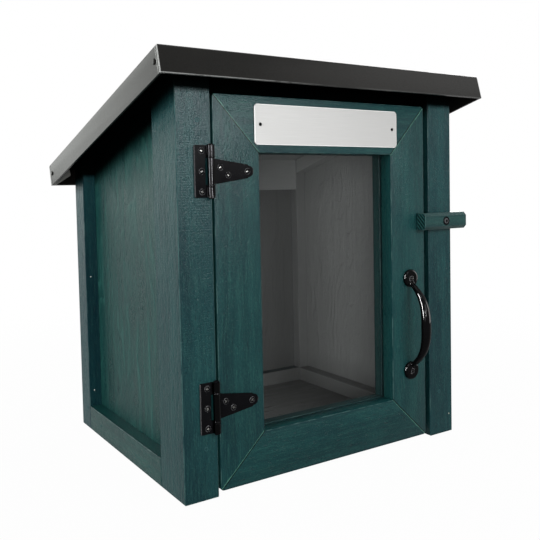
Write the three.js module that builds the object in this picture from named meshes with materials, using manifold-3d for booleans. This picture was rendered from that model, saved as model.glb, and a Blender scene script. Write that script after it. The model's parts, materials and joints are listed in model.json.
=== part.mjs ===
// Street book exchange box: a small timber cabinet with a single-pitch metal roof and a glazed door.
// Millimetres. +X is the viewer's right, +Y the back, +Z up. The origin is the middle of the base.
import * as THREE from "three";
import { mergeVertices } from "three/addons/utils/BufferGeometryUtils.js";
import Module from "manifold-3d";

const wasm = await Module();
wasm.setup();

// Cabinet, over the outer faces of its posts
const cabinetWidth = 400;
const cabinetDepth = 331;
const frontPostWidth = 41;
const frontPostDepth = 59;
const rearPostWidth = 41;
const rearPostDepth = 33.5;
const railHeight = 32.3;
const sideRecess = 17;
const backRecess = 12;
const panelThickness = 6;
const grooveDepth = 6;
const floorThickness = 12;
const backHeaderHeight = 40;
const frontHeaderLap = 20;
const doorStopWidth = 14;
const cleatHeight = 22;
const woodEase = 0.8;
const fitGap = 0.3;
const overrun = 5;

// Roof, measured on the slope
const roofFrontHeight = 472.8;
const roofPitchDegrees = 15;
const roofFrontOverhang = 21.6;
const roofSideOverhang = 27.8;
const roofRearOverhang = 28;
const flangeDepth = 30.1;
const sheetThickness = 1.2;
const bendRadius = 2.2;
const hemHeight = 6;
const deckThickness = 6.5;
const deckInset = 3;
const clipLength = 28;
const clipLegLength = 16;
const clipFootLength = 5;
const clipEndShare = 0.38;
const rivetRadius = 3.2;
const rivetHeadHeight = 1.3;
const rivetShankRadius = 1.6;
const rivetShankLength = 4.5;
const rivetEdge = 10;

// Door
const doorGapLeft = 2.5;
const doorGapRight = 8.3;
const doorLift = 4.8;
const doorHeadroom = 26.6;
const doorThickness = 35;
const doorRunningGap = 1;
const stileWidth = 56.8;
const topRailWidth = 61.8;
const bottomRailWidth = 55;
const doorCornerRadius = 4;
const frontLip = 18;
const rebateWidth = 12;
const paneThickness = 3;

// Tee hinges
const lowerHingeInset = 94;
const upperHingeInset = 82.3;
const knuckleRadius = 4;
const hingeSheet = 1.9;
const rollDegrees = 288;
const pinRadius = 1.8;
const pinHeadRadius = 3.1;
const pinHeadHeight = 1.3;
const pinInset = 2.7;
const leafWidth = 18.2;
const leafHeight = 54.9;
const leafCornerRadius = 1.6;
const leafSlot = 1.8;
const leafScrewInset = 8.2;
const leafScrewPitch = 21.4;
const knuckleRing = 2.5;
const ringGroove = 0.5;
const strapKnuckle = 27.5;
const strapLength = 53.2;
const strapRootHeight = 27.2;
const strapShoulderHeight = 14.8;
const strapShoulder = 46;
const strapNoseRadius = 6.2;
const strapScrews = [
  { reach: 12.2, rise: 4.3 },
  { reach: 21.6, rise: -4 },
  { reach: 45.4, rise: 0 },
];

// Wood screws of the hinges
const hingeScrew = { head: 3.6, shank: 1.7, sink: 1.9, dome: 0.8, length: 16, slot: 0.9, recess: 1.3 };

// Turn button
const buttonLength = 75;
const buttonHeight = 21.4;
const buttonThickness = 15.8;
const buttonChamfer = 4;
const buttonEase = 0.5;
const buttonCentreHeight = 284.6;
const buttonInset = 25.5;
const buttonGap = 0.6;
const buttonScrew = { head: 4.3, shank: 2.3, sink: 2.3, dome: 1, length: 38, slot: 1.1, recess: 1.7 };

// Pull handle
const handleCentres = 119;
const handleHeight = 153.4;
const handleInset = 26.6;
const footRadius = 11.4;
const footThickness = 4.2;
const footEdge = 1.6;
const bowProjection = 26.2;
const bowRoot = 6;
const bowWidth = 13.6;
const bowThickness = 11;
const bowWaistShare = 0.46;
const bowPower = 3;
const handleScrew = { head: 3.4, shank: 1.7, sink: 1.9, dome: 0.6, length: 22, slot: 0.9, recess: 1.2 };

// Plate on the door's top rail
const plateWidth = 208.4;
const plateHeight = 44.6;
const plateThickness = 1.5;
const plateCornerRadius = 4.2;
const plateEase = 0.3;
const plateOffset = 1.6;
const plateScrewInset = 7.6;
const plateScrew = { head: 1.9, shank: 1.1, sink: 0.9, dome: 0.5, length: 9, slot: 0.5, recess: 0.5 };

// Facets round a full turn
const roundFacets = 24;
const screwFacets = 14;
const boreFacets = 10;
const bowFacets = 20;
const bowStations = 32;
const cornerFacets = 16;

// Steps across an eased or folded edge
const bendSteps = 3;
const easeSteps = 2;

// Planes that the pieces share
const left = -cabinetWidth / 2;
const right = cabinetWidth / 2;
const front = -cabinetDepth / 2;
const back = cabinetDepth / 2;
const leftInner = left + frontPostWidth;
const rightInner = right - frontPostWidth;
const frontPostBack = front + frontPostDepth;
const rearPostFront = back - rearPostDepth;
const panelOuter = cabinetWidth / 2 - sideRecess;
const panelInner = panelOuter - panelThickness;
const backPanelOuter = back - backRecess;
const backPanelInner = backPanelOuter - panelThickness;
const pitch = THREE.MathUtils.degToRad(roofPitchDegrees);
const roofWidth = cabinetWidth + 2 * roofSideOverhang;
const roofLength = (roofFrontOverhang + cabinetDepth + roofRearOverhang) / Math.cos(pitch);
const deckUnderside = sheetThickness + fitGap + deckThickness;

// Heights at a depth y: of the roof's top face, and of the plane that the timber is cut to
function roofTopAt(y) {
  return roofFrontHeight - (y - front + roofFrontOverhang) * Math.tan(pitch);
}

function timberTopAt(y) {
  return roofTopAt(y) - (deckUnderside + fitGap) / Math.cos(pitch);
}

const doorLeft = leftInner + doorGapLeft;
const doorRight = rightInner - doorGapRight;
const doorBottom = doorLift;
const doorTop = timberTopAt(front) - doorHeadroom;
const doorBack = front + doorThickness;
const stopFront = doorBack + doorRunningGap;
const openingLeft = doorLeft + stileWidth;
const openingRight = doorRight - stileWidth;
const openingBottom = doorBottom + bottomRailWidth;
const openingTop = doorTop - topRailWidth;
const hingeHeights = { lower: doorBottom + lowerHingeInset, upper: doorTop - upperHingeInset };

// Materials
function finish(color, roughness, metalness = 0) {
  return new THREE.MeshStandardMaterial({ color, roughness, metalness });
}

const stainedWood = finish(0x3f5a5c, 0.7);
const roofPaint = finish(0x35342f, 0.45, 0.3);
const blackHardware = finish(0x151517, 0.35, 0.5);
const blackEnamel = finish(0x0c0c0e, 0.18, 0.3);
const brushedMetal = finish(0xc9c9c6, 0.4, 0.9);
const clearPane = finish(0xc8d2d2, 0.05);
clearPane.transparent = true;
clearPane.opacity = 0.3;

// Solids: closed geometry to and from the boolean library
function solidOf(geometry) {
  const bare = geometry.index ? geometry.toNonIndexed() : geometry.clone();
  for (const name of Object.keys(bare.attributes)) {
    if (name !== "position") bare.deleteAttribute(name);
  }
  const merged = mergeVertices(bare);
  const vertProperties = merged.attributes.position.array;
  const triVerts = new Uint32Array(merged.index.array);
  return new wasm.Manifold(new wasm.Mesh({ numProp: 3, vertProperties, triVerts }));
}

function geometryOf(solid) {
  const mesh = solid.getMesh();
  const geometry = new THREE.BufferGeometry();
  geometry.setAttribute("position", new THREE.BufferAttribute(mesh.vertProperties, 3));
  geometry.setIndex(new THREE.BufferAttribute(mesh.triVerts, 1));
  geometry.computeVertexNormals();
  return geometry;
}

function cut(geometry, tools) {
  return geometryOf(tools.reduce((rest, tool) => rest.subtract(solidOf(tool)), solidOf(geometry)));
}

function join(geometries) {
  const [first, ...others] = geometries.map(solidOf);
  return geometryOf(others.reduce((sum, other) => sum.add(other), first));
}

function common(a, b) {
  return geometryOf(solidOf(a).intersect(solidOf(b)));
}

// Outlines
function polygon(points) {
  return new THREE.Shape(points.map(([x, y]) => new THREE.Vector2(x, y)));
}

function rectangle(x0, y0, x1, y1) {
  return polygon([[x0, y0], [x1, y0], [x1, y1], [x0, y1]]);
}

function roundedRectangle(x0, y0, x1, y1, radius) {
  const shape = new THREE.Shape();
  const quarter = Math.PI / 2;
  shape.absarc(x1 - radius, y0 + radius, radius, -quarter, 0);
  shape.absarc(x1 - radius, y1 - radius, radius, 0, quarter);
  shape.absarc(x0 + radius, y1 - radius, radius, quarter, 2 * quarter);
  shape.absarc(x0 + radius, y0 + radius, radius, 2 * quarter, 3 * quarter);
  return shape;
}

// Extrusions of an outline, whose edges are eased inside its true size
function extrude(shape, depth, ease = 0, steps = 1, facets = cornerFacets) {
  const geometry = new THREE.ExtrudeGeometry(shape, {
    depth: depth - 2 * ease,
    bevelEnabled: ease > 0,
    bevelThickness: ease,
    bevelSize: ease,
    bevelOffset: -ease,
    bevelSegments: steps,
    curveSegments: facets / 4,
  });
  return geometry.translate(0, 0, ease);
}

// An outline in depth and height, extruded across the width from x0 to x1
const acrossWidth = new THREE.Matrix4().makeBasis(
  new THREE.Vector3(0, 1, 0),
  new THREE.Vector3(0, 0, 1),
  new THREE.Vector3(1, 0, 0),
);

function across(shape, x0, x1, ease = 0) {
  return extrude(shape, x1 - x0, ease).applyMatrix4(acrossWidth).translate(x0, 0, 0);
}

// An outline in width and height, extruded from y0 back to y1
function through(shape, y0, y1, ease = 0, steps = 1) {
  return extrude(shape, y1 - y0, ease, steps).rotateX(Math.PI / 2).translate(0, y1, 0);
}

function block(x0, x1, y0, y1, z0, z1) {
  return through(rectangle(x0, z0, x1, z1), y0, y1);
}

// A profile of [radius, depth] turned about an axis that runs along Y
function turned(points, facets) {
  const profile = points.map(([radius, depth]) => new THREE.Vector2(radius, depth));
  return new THREE.LatheGeometry(profile, facets);
}

function bore(x, z, radius, y0, y1) {
  const profile = [[0, y0], [radius, y0], [radius, y1], [0, y1]];
  return turned(profile, boreFacets).translate(x, 0, z);
}

// Countersunk screws. Depth zero is the face that the head is sunk in, and +Y goes into the wood.
function screwTool(screw) {
  const head = screw.head + fitGap;
  const shank = screw.shank + fitGap;
  const end = screw.length + fitGap;
  return turned(
    [[0, -overrun], [head, -overrun], [head, 0], [shank, screw.sink + fitGap], [shank, end], [0, end]],
    screwFacets,
  );
}

function screwBody(screw) {
  const point = 2 * screw.shank;
  const rimShare = 0.7;
  const crownShare = 0.8;
  const blank = turned(
    [
      [0, -screw.dome],
      [screw.head * rimShare, -screw.dome * crownShare],
      [screw.head, 0],
      [screw.shank, screw.sink],
      [screw.shank, screw.length - point],
      [0, screw.length],
    ],
    screwFacets,
  );
  const arm = screw.head / 2;
  const half = screw.slot / 2;
  const cross = [
    block(-arm, arm, -screw.dome - overrun, screw.recess - screw.dome, -half, half),
    block(-half, half, -screw.dome - overrun, screw.recess - screw.dome, -arm, arm),
  ];
  return cut(blank, cross);
}

// The scene graph
const sides = { left: -1, right: 1 };
const group = new THREE.Group();
const cabinet = new THREE.Group();
const roof = new THREE.Group();
const door = new THREE.Group();
const button = new THREE.Group();
group.add(cabinet, roof, door, button);

function add(parent, name, geometry, material, x = 0, y = 0, z = 0) {
  const mesh = new THREE.Mesh(geometry, material.clone());
  mesh.name = name;
  mesh.position.set(x, y, z);
  parent.add(mesh);
  return mesh;
}

// Every screw is turned home to an angle of its own
let screwCount = 0;
const screwTurnShare = 0.381966;

function addScrew(parent, name, screw, x, y, z) {
  const mesh = add(parent, name, screwBody(screw), blackHardware, x, y, z);
  mesh.rotation.y = 2 * Math.PI * screwTurnShare * screwCount;
  screwCount += 1;
}

// Where each screw enters the wood: the hinge leaves on the post, the straps on the door
const pinX = leftInner - pinInset;
const pinY = front - fitGap - knuckleRadius;
const hingeFace = front - fitGap - hingeSheet;
const leafScrewX = pinX + leafScrewInset - leafWidth;
const leafScrewRises = [-leafScrewPitch, 0, leafScrewPitch];
const buttonX = right - buttonInset;
const buttonFace = front - buttonGap - buttonThickness;
const handleX = doorRight - handleInset;
const handleFace = front - fitGap - footThickness;
const plateFace = front - fitGap - plateThickness;
const handleScrewHeights = [handleHeight - handleCentres / 2, handleHeight + handleCentres / 2];
const plateX = (doorLeft + doorRight) / 2 + plateOffset;
const plateZ = (openingTop + doorTop) / 2;
const plateScrewXs = [plateX - plateWidth / 2 + plateScrewInset, plateX + plateWidth / 2 - plateScrewInset];

// Pilot hole of a screw whose head is sunk at y0
function pilot(x, z, screw, y0) {
  return bore(x, z, screw.shank + fitGap, y0, y0 + screw.length + fitGap);
}

// Posts: the timber's outline follows the pitch of the roof, and a groove holds each panel
function slopedTop(y0, y1, bottom) {
  return polygon([[y0, bottom], [y1, bottom], [y1, timberTopAt(y1)], [y0, timberTopAt(y0)]]);
}

function panelGroove(side, y0, y1) {
  const inner = side * (panelInner - fitGap);
  const outer = side * (panelOuter + fitGap);
  return block(inner, outer, y0, y1, railHeight - grooveDepth, roofFrontHeight);
}

function backGroove(x0, x1, z0, z1) {
  return block(x0, x1, backPanelInner - fitGap, backPanelOuter + fitGap, z0, z1);
}

function frontPost(side) {
  const x0 = side < 0 ? left : rightInner;
  const post = across(slopedTop(front, frontPostBack, 0), x0, x0 + frontPostWidth, woodEase);
  const tools = [panelGroove(side, frontPostBack - grooveDepth, frontPostBack + overrun)];
  if (side < 0) {
    for (const height of Object.values(hingeHeights)) {
      tools.push(...leafScrewRises.map((rise) => pilot(leafScrewX, height + rise, hingeScrew, hingeFace)));
    }
  } else {
    tools.push(pilot(buttonX, buttonCentreHeight, buttonScrew, buttonFace));
  }
  return cut(post, tools);
}

function rearPost(side) {
  const x0 = side < 0 ? left : right - rearPostWidth;
  const x1 = x0 + rearPostWidth;
  const post = across(slopedTop(rearPostFront, back, 0), x0, x1, woodEase);
  const innerFace = side < 0 ? x1 : x0;
  return cut(post, [
    panelGroove(side, rearPostFront - overrun, rearPostFront + grooveDepth),
    backGroove(
      innerFace + side * grooveDepth, innerFace - side * overrun,
      railHeight - grooveDepth, roofFrontHeight,
    ),
  ]);
}

// Bottom rails and panels of the sides
function sideRail(side) {
  const x0 = side < 0 ? left : rightInner;
  const outline = rectangle(frontPostBack + fitGap, 0, rearPostFront - fitGap, railHeight);
  const rail = across(outline, x0, x0 + frontPostWidth, woodEase);
  return cut(rail, [panelGroove(side, frontPostBack, rearPostFront)]);
}

function sidePanel(side) {
  const y0 = frontPostBack - grooveDepth + fitGap;
  const y1 = rearPostFront + grooveDepth - fitGap;
  const x0 = side < 0 ? -panelOuter : panelInner;
  return across(slopedTop(y0, y1, railHeight - grooveDepth + fitGap), x0, x0 + panelThickness);
}

// Cleats inside the sides, which the roof deck is fixed to
function roofCleat(side) {
  const y0 = frontPostBack + fitGap;
  const y1 = rearPostFront - fitGap;
  const x0 = side < 0 ? -panelInner + fitGap : rightInner;
  const x1 = side < 0 ? leftInner : panelInner - fitGap;
  const outline = polygon([
    [y0, timberTopAt(y0) - cleatHeight], [y1, timberTopAt(y1) - cleatHeight],
    [y1, timberTopAt(y1)], [y0, timberTopAt(y0)],
  ]);
  return across(outline, x0, x1, woodEase);
}

function doorStop(side) {
  const x0 = side < 0 ? leftInner + fitGap : rightInner - fitGap - doorStopWidth;
  const z0 = railHeight + fitGap;
  const z1 = doorTop - frontHeaderLap - fitGap;
  return across(rectangle(stopFront, z0, frontPostBack, z1), x0, x0 + doorStopWidth, woodEase);
}

for (const [name, side] of Object.entries(sides)) {
  add(cabinet, "front_post_" + name, frontPost(side), stainedWood);
  add(cabinet, "rear_post_" + name, rearPost(side), stainedWood);
  add(cabinet, "side_rail_" + name, sideRail(side), stainedWood);
  add(cabinet, "side_panel_" + name, sidePanel(side), stainedWood);
  add(cabinet, "roof_cleat_" + name, roofCleat(side), stainedWood);
  add(cabinet, "door_stop_" + name, doorStop(side), stainedWood);
}

// Front and back: a header and a bottom rail between the posts, and the back panel
const rearInner = right - rearPostWidth;
const frontHeader = across(
  slopedTop(stopFront, frontPostBack, doorTop - frontHeaderLap),
  leftInner + fitGap, rightInner - fitGap, woodEase,
);
add(cabinet, "front_header", frontHeader, stainedWood);

const frontSill = across(
  rectangle(stopFront, 0, frontPostBack, railHeight),
  leftInner + fitGap, rightInner - fitGap, woodEase,
);
add(cabinet, "front_sill", frontSill, stainedWood);

const backHeaderBottom = timberTopAt(back) - backHeaderHeight;
const backHeader = cut(
  across(slopedTop(rearPostFront, back, backHeaderBottom), -rearInner + fitGap, rearInner - fitGap, woodEase),
  [backGroove(left, right, backHeaderBottom - overrun, backHeaderBottom + grooveDepth)],
);
add(cabinet, "back_header", backHeader, stainedWood);

const backRail = cut(
  across(rectangle(rearPostFront, 0, back, railHeight), -rearInner + fitGap, rearInner - fitGap, woodEase),
  [backGroove(left, right, railHeight - grooveDepth, railHeight + overrun)],
);
add(cabinet, "back_rail", backRail, stainedWood);

const backPanelHalf = rearInner + grooveDepth - fitGap;
const backPanelOutline = rectangle(
  -backPanelHalf, railHeight - grooveDepth + fitGap,
  backPanelHalf, backHeaderBottom + grooveDepth - fitGap,
);
add(cabinet, "back_panel", through(backPanelOutline, backPanelInner, backPanelOuter), stainedWood);

const floorOutline = rectangle(
  leftInner + fitGap, frontPostBack + fitGap,
  rightInner - fitGap, rearPostFront - fitGap,
);
add(cabinet, "floor_board", extrude(floorOutline, floorThickness, woodEase), stainedWood);

// Roof: the group stands at the top front edge and leans back by the pitch
roof.position.set(0, front - roofFrontOverhang, roofFrontHeight);
roof.rotation.x = -pitch;

function roofSlab(inset, z0, z1, ease = 0, steps = 1) {
  const half = roofWidth / 2 - inset;
  const outline = rectangle(-half, inset, half, roofLength - inset);
  return extrude(outline, z1 - z0, ease, steps).translate(0, 0, z0);
}

// Clips behind the corners: one leg lies on the side flange, a cut-away leg crosses to the end flange
function cornerClip(side, atBack) {
  const seat = sheetThickness / 2;
  const low = -flangeDepth;
  const top = -deckUnderside - fitGap;
  const corner = side * (roofWidth / 2 - seat);
  const inwards = -side;
  const end = atBack ? roofLength - seat : seat;
  const inwardsY = atBack ? -1 : 1;
  const leg = extrude(
    rectangle(corner, end, corner + inwards * (seat + sheetThickness), end + inwardsY * clipLegLength),
    top - low,
  ).translate(0, 0, low);
  const tabOutline = polygon([
    [corner, low],
    [corner + inwards * clipFootLength, low],
    [corner + inwards * clipLength, THREE.MathUtils.lerp(top, low, clipEndShare)],
    [corner + inwards * clipLength, top],
    [corner, top],
  ]);
  const tabEnd = end + inwardsY * (seat + sheetThickness);
  const tab = through(tabOutline, Math.min(end, tabEnd), Math.max(end, tabEnd));
  return [leg, tab];
}

// Rivets through the side flanges, one near each corner
const rivetPlaces = Object.entries(sides).flatMap(([name, side]) => [
  { name: name + "_front", side, y: rivetEdge },
  { name: name + "_rear", side, y: roofLength - rivetEdge },
]);

function rivetBore({ side, y }) {
  const radius = rivetShankRadius + fitGap;
  const tool = turned([[0, -overrun], [radius, -overrun], [radius, overrun], [0, overrun]], boreFacets);
  return tool.rotateZ(Math.PI / 2).translate(side * (roofWidth / 2), y, -flangeDepth / 2);
}

function rivetBody({ side }) {
  const rimShare = 0.75;
  const body = turned(
    [
      [0, -rivetHeadHeight],
      [rivetRadius * rimShare, -rivetHeadHeight * rimShare],
      [rivetRadius, 0],
      [rivetShankRadius, 0],
      [rivetShankRadius, rivetShankLength],
      [0, rivetShankLength],
    ],
    screwFacets,
  );
  return body.rotateZ(side * Math.PI / 2);
}

// The folded pan is the sheet's outer form less its inner form, with a hem turned up inside the flanges
function roofPan() {
  const foot = -flangeDepth;
  const innerRadius = bendRadius - sheetThickness;
  const outer = roofSlab(0, foot - overrun, 0, bendRadius, bendSteps);
  const inner = roofSlab(sheetThickness, foot - 2 * overrun, -sheetThickness, innerRadius, bendSteps);
  const hem = cut(
    roofSlab(sheetThickness / 2, foot, foot + hemHeight),
    [roofSlab(2 * sheetThickness, foot - overrun, foot + hemHeight + overrun)],
  );
  const clips = Object.values(sides).flatMap((side) => [
    ...cornerClip(side, false),
    ...cornerClip(side, true),
  ]);
  const below = roofSlab(-overrun, foot - 2 * overrun, foot);
  return cut(join([cut(outer, [inner]), hem, ...clips]), [below, ...rivetPlaces.map(rivetBore)]);
}

add(roof, "roof_pan", roofPan(), roofPaint);
const deckBoard = roofSlab(deckInset, -deckUnderside, deckThickness - deckUnderside, woodEase);
add(roof, "roof_deck", deckBoard, stainedWood);
for (const place of rivetPlaces) {
  const x = place.side * (roofWidth / 2 + fitGap);
  add(roof, "roof_rivet_" + place.name, rivetBody(place), roofPaint, x, place.y, -flangeDepth / 2);
}

// Door frame: a rebated frame with a saw kerf along each mitre, taken apart into its four pieces
const doorOutline = roundedRectangle(doorLeft, doorBottom, doorRight, doorTop, doorCornerRadius);
const opening = rectangle(openingLeft, openingBottom, openingRight, openingTop);
const rebate = rectangle(
  openingLeft - rebateWidth, openingBottom - rebateWidth,
  openingRight + rebateWidth, openingTop + rebateWidth,
);

function framed(outline, hole) {
  const shape = outline.clone();
  shape.holes = [hole];
  return shape;
}

function corners(edges) {
  const { left: x0, right: x1, bottom: z0, top: z1 } = edges;
  return [[x0, z0], [x1, z0], [x1, z1], [x0, z1]].map(([x, z]) => new THREE.Vector2(x, z));
}

function kerf(outer, inner) {
  const run = inner.clone().sub(outer).setLength(overrun);
  const aside = new THREE.Vector2(-run.y, run.x).setLength(fitGap / 2);
  const start = outer.clone().sub(run);
  const end = inner.clone().add(run);
  const outline = new THREE.Shape([
    start.clone().add(aside), start.clone().sub(aside),
    end.clone().sub(aside), end.clone().add(aside),
  ]);
  return through(outline, front - overrun, doorBack + overrun);
}

// The frame between two rectangles of edges, as its bottom, right, top and left pieces
function mitred(frame, outerEdges, innerEdges) {
  const outer = corners(outerEdges);
  const inner = corners(innerEdges);
  const sawn = cut(frame, outer.map((corner, index) => kerf(corner, inner[index])));
  const places = ["bottom", "right", "top", "left"];
  return places.map((place, index) => {
    const next = (index + 1) % places.length;
    const outline = new THREE.Shape([outer[index], outer[next], inner[next], inner[index]]);
    return [place, common(sawn, through(outline, front - overrun, doorBack + overrun))];
  });
}

function doorFrame() {
  const lip = through(framed(doorOutline, opening), front, front + frontLip, woodEase, easeSteps);
  const body = through(framed(doorOutline, rebate), front + woodEase, doorBack);
  const straps = Object.values(hingeHeights).flatMap((height) =>
    strapScrews.map(({ reach, rise }) => pilot(pinX + reach, height + rise, hingeScrew, hingeFace)),
  );
  const handle = handleScrewHeights.map((z) => pilot(handleX, z, handleScrew, handleFace));
  const plate = plateScrewXs.map((x) => pilot(x, plateZ, plateScrew, plateFace));
  return cut(join([lip, body]), [...straps, ...handle, ...plate]);
}

const frameEdges = { left: doorLeft, right: doorRight, bottom: doorBottom, top: doorTop };
const openingEdges = { left: openingLeft, right: openingRight, bottom: openingBottom, top: openingTop };
for (const [place, geometry] of mitred(doorFrame(), frameEdges, openingEdges)) {
  const kind = place === "left" || place === "right" ? "stile" : "rail";
  add(door, "door_" + kind + "_" + place, geometry, stainedWood);
}

// Pane, and the beads that hold it in the rebate
const paneMargin = rebateWidth - 2 * fitGap;
const paneOutline = rectangle(
  openingLeft - paneMargin, openingBottom - paneMargin,
  openingRight + paneMargin, openingTop + paneMargin,
);
const paneFront = front + frontLip + fitGap;
const paneBack = paneFront + paneThickness;
add(door, "window_pane", through(paneOutline, paneFront, paneBack), clearPane);

const beadMargin = rebateWidth - fitGap;
const beadEdges = {
  left: openingLeft - beadMargin,
  right: openingRight + beadMargin,
  bottom: openingBottom - beadMargin,
  top: openingTop + beadMargin,
};
const beadOutline = rectangle(beadEdges.left, beadEdges.bottom, beadEdges.right, beadEdges.top);
const beadRing = through(framed(beadOutline, opening), paneBack + fitGap, doorBack, woodEase);
for (const [place, geometry] of mitred(beadRing, beadEdges, openingEdges)) {
  add(door, "glazing_bead_" + place, geometry, stainedWood);
}

// Tee hinges, modelled round the pin. The sheet runs out to the reach on its back plane, and at the pin
// it is rolled round from behind, short of a full turn. A side of -1 is the leaf, and of 1 the strap.
function rolledSheet(side, reach, height) {
  const eye = knuckleRadius - hingeSheet;
  const roll = THREE.MathUtils.degToRad(rollDegrees);
  const arc = (radius) =>
    Array.from({ length: roundFacets + 1 }, (_, step) => {
      const angle = (roll * step) / roundFacets;
      return [-side * radius * Math.sin(angle), radius * Math.cos(angle)];
    });
  const outline = polygon([
    [side * reach, knuckleRadius],
    ...arc(knuckleRadius),
    ...arc(eye).reverse(),
    [side * reach, eye],
  ]);
  return extrude(outline, height).translate(0, 0, -height / 2);
}

function sunkHoles(places) {
  return places.map(([x, z]) => screwTool(hingeScrew).translate(x, knuckleRadius - hingeSheet, z));
}

// A shallow groove round the open side of a knuckle, which sets off a ring at the knuckle's end
function grooveTool(height) {
  const depth = knuckleRadius - ringGroove;
  const rim = knuckleRadius + ringGroove;
  const low = height - ringGroove / 2;
  const high = height + ringGroove / 2;
  const hoop = turned([[depth, low], [rim, low], [rim, high], [depth, high], [depth, low]], roundFacets);
  const openSide = block(-rim, rim, -rim, rim - knuckleRadius, low - overrun, high + overrun);
  return common(hoop.rotateX(Math.PI / 2), openSide);
}

// The leaf has the two end knuckles, and is cut back to a slot beside the strap's knuckle
function hingeLeaf() {
  const half = leafHeight / 2;
  const sheet = rolledSheet(-1, leafWidth, leafHeight);
  const outline = roundedRectangle(-leafWidth, -half, leafWidth, half, leafCornerRadius);
  const rounded = common(sheet, through(outline, -leafWidth, leafWidth));
  const middle = strapKnuckle / 2 + fitGap;
  const slot = block(-knuckleRadius - leafSlot, leafWidth, -leafWidth, leafWidth, -middle, middle);
  const grooves = [-middle - knuckleRing, middle + knuckleRing].map(grooveTool);
  const holes = sunkHoles(leafScrewRises.map((rise) => [leafScrewInset - leafWidth, rise]));
  return cut(rounded, [slot, ...grooves, ...holes]);
}

// The strap has the middle knuckle, tapers to its shoulders and ends in a round nose
function hingeStrap() {
  const knuckle = strapKnuckle / 2;
  const root = strapRootHeight / 2;
  const shoulder = strapShoulderHeight / 2;
  const noseCentre = strapLength - strapNoseRadius;
  const outline = new THREE.Shape();
  outline.moveTo(-knuckleRadius - overrun, -knuckle);
  outline.lineTo(knuckleRadius, -knuckle);
  outline.lineTo(knuckleRadius, -root);
  outline.lineTo(strapShoulder, -shoulder);
  outline.lineTo(noseCentre, -strapNoseRadius);
  outline.absarc(noseCentre, 0, strapNoseRadius, -Math.PI / 2, Math.PI / 2);
  outline.lineTo(strapShoulder, shoulder);
  outline.lineTo(knuckleRadius, root);
  outline.lineTo(knuckleRadius, knuckle);
  outline.lineTo(-knuckleRadius - overrun, knuckle);
  const sheet = rolledSheet(1, strapLength, strapKnuckle);
  const trim = extrude(outline, 4 * knuckleRadius, 0, 1, roundFacets);
  trim.rotateX(Math.PI / 2).translate(0, 2 * knuckleRadius, 0);
  return cut(common(sheet, trim), sunkHoles(strapScrews.map(({ reach, rise }) => [reach, rise])));
}

function hingePin() {
  const end = leafHeight / 2 + fitGap;
  const crownShare = 0.6;
  const head = (direction) => [
    [pinRadius, direction * end],
    [pinHeadRadius, direction * end],
    [pinHeadRadius, direction * (end + pinHeadHeight * crownShare)],
    [pinHeadRadius * crownShare, direction * (end + pinHeadHeight)],
    [0, direction * (end + pinHeadHeight)],
  ];
  return turned([...head(-1).reverse(), ...head(1)], screwFacets).rotateX(Math.PI / 2);
}

for (const [name, height] of Object.entries(hingeHeights)) {
  add(cabinet, "hinge_leaf_" + name, hingeLeaf(), blackHardware, pinX, pinY, height);
  add(cabinet, "hinge_pin_" + name, hingePin(), blackHardware, pinX, pinY, height);
  add(door, "hinge_strap_" + name, hingeStrap(), blackHardware, pinX, pinY, height);
  leafScrewRises.forEach((rise, index) => {
    const screw = "hinge_leaf_screw_" + name + "_" + (index + 1);
    addScrew(cabinet, screw, hingeScrew, leafScrewX, hingeFace, height + rise);
  });
  strapScrews.forEach(({ reach, rise }, index) => {
    const screw = "hinge_strap_screw_" + name + "_" + (index + 1);
    addScrew(door, screw, hingeScrew, pinX + reach, hingeFace, height + rise);
  });
}

// Turn button: a block with its long front edges chamfered, which turns on its screw
button.position.set(buttonX, front, buttonCentreHeight);
const buttonHalf = buttonHeight / 2;
const buttonFront = -buttonGap - buttonThickness;
const buttonProfile = polygon([
  [-buttonGap, -buttonHalf],
  [-buttonGap, buttonHalf],
  [buttonFront + buttonChamfer, buttonHalf],
  [buttonFront, buttonHalf - buttonChamfer],
  [buttonFront, buttonChamfer - buttonHalf],
  [buttonFront + buttonChamfer, -buttonHalf],
]);
const buttonBlock = cut(
  across(buttonProfile, -buttonLength / 2, buttonLength / 2, buttonEase),
  [screwTool(buttonScrew).translate(0, buttonFront, 0)],
);
add(button, "turn_button", buttonBlock, stainedWood);
addScrew(cabinet, "turn_button_screw", buttonScrew, buttonX, buttonFace, buttonCentreHeight);

// Pull handle: two round feet and a bow that swells to the middle
function handleFoot(z) {
  const foot = turned(
    [
      [0, -footThickness],
      [footRadius - footEdge, -footThickness],
      [footRadius, footEdge - footThickness],
      [footRadius, 0],
      [0, 0],
    ],
    roundFacets,
  );
  return foot.translate(0, 0, z);
}

// The bow is a loft of ovals, square to a centre line whose projection follows 1 - |s|^power
function handleBow() {
  const half = handleCentres / 2 - bowRoot;
  const root = footThickness / 2;
  const positions = [];
  for (let station = 0; station <= bowStations; station += 1) {
    const s = (2 * station) / bowStations - 1;
    const centre = -root - bowProjection * (1 - Math.abs(s) ** bowPower);
    const slope = (bowProjection * bowPower * Math.sign(s) * Math.abs(s) ** (bowPower - 1)) / half;
    const outwards = new THREE.Vector2(1, -slope).normalize();
    const swell = THREE.MathUtils.lerp(1, bowWaistShare, s * s);
    for (let facet = 0; facet < bowFacets; facet += 1) {
      const angle = (2 * Math.PI * facet) / bowFacets;
      const wide = (swell * bowWidth * Math.cos(angle)) / 2;
      const thick = (swell * bowThickness * Math.sin(angle)) / 2;
      positions.push(wide, centre + thick * outwards.x, half * s + thick * outwards.y);
    }
  }
  return loft(positions, bowFacets);
}

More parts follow.
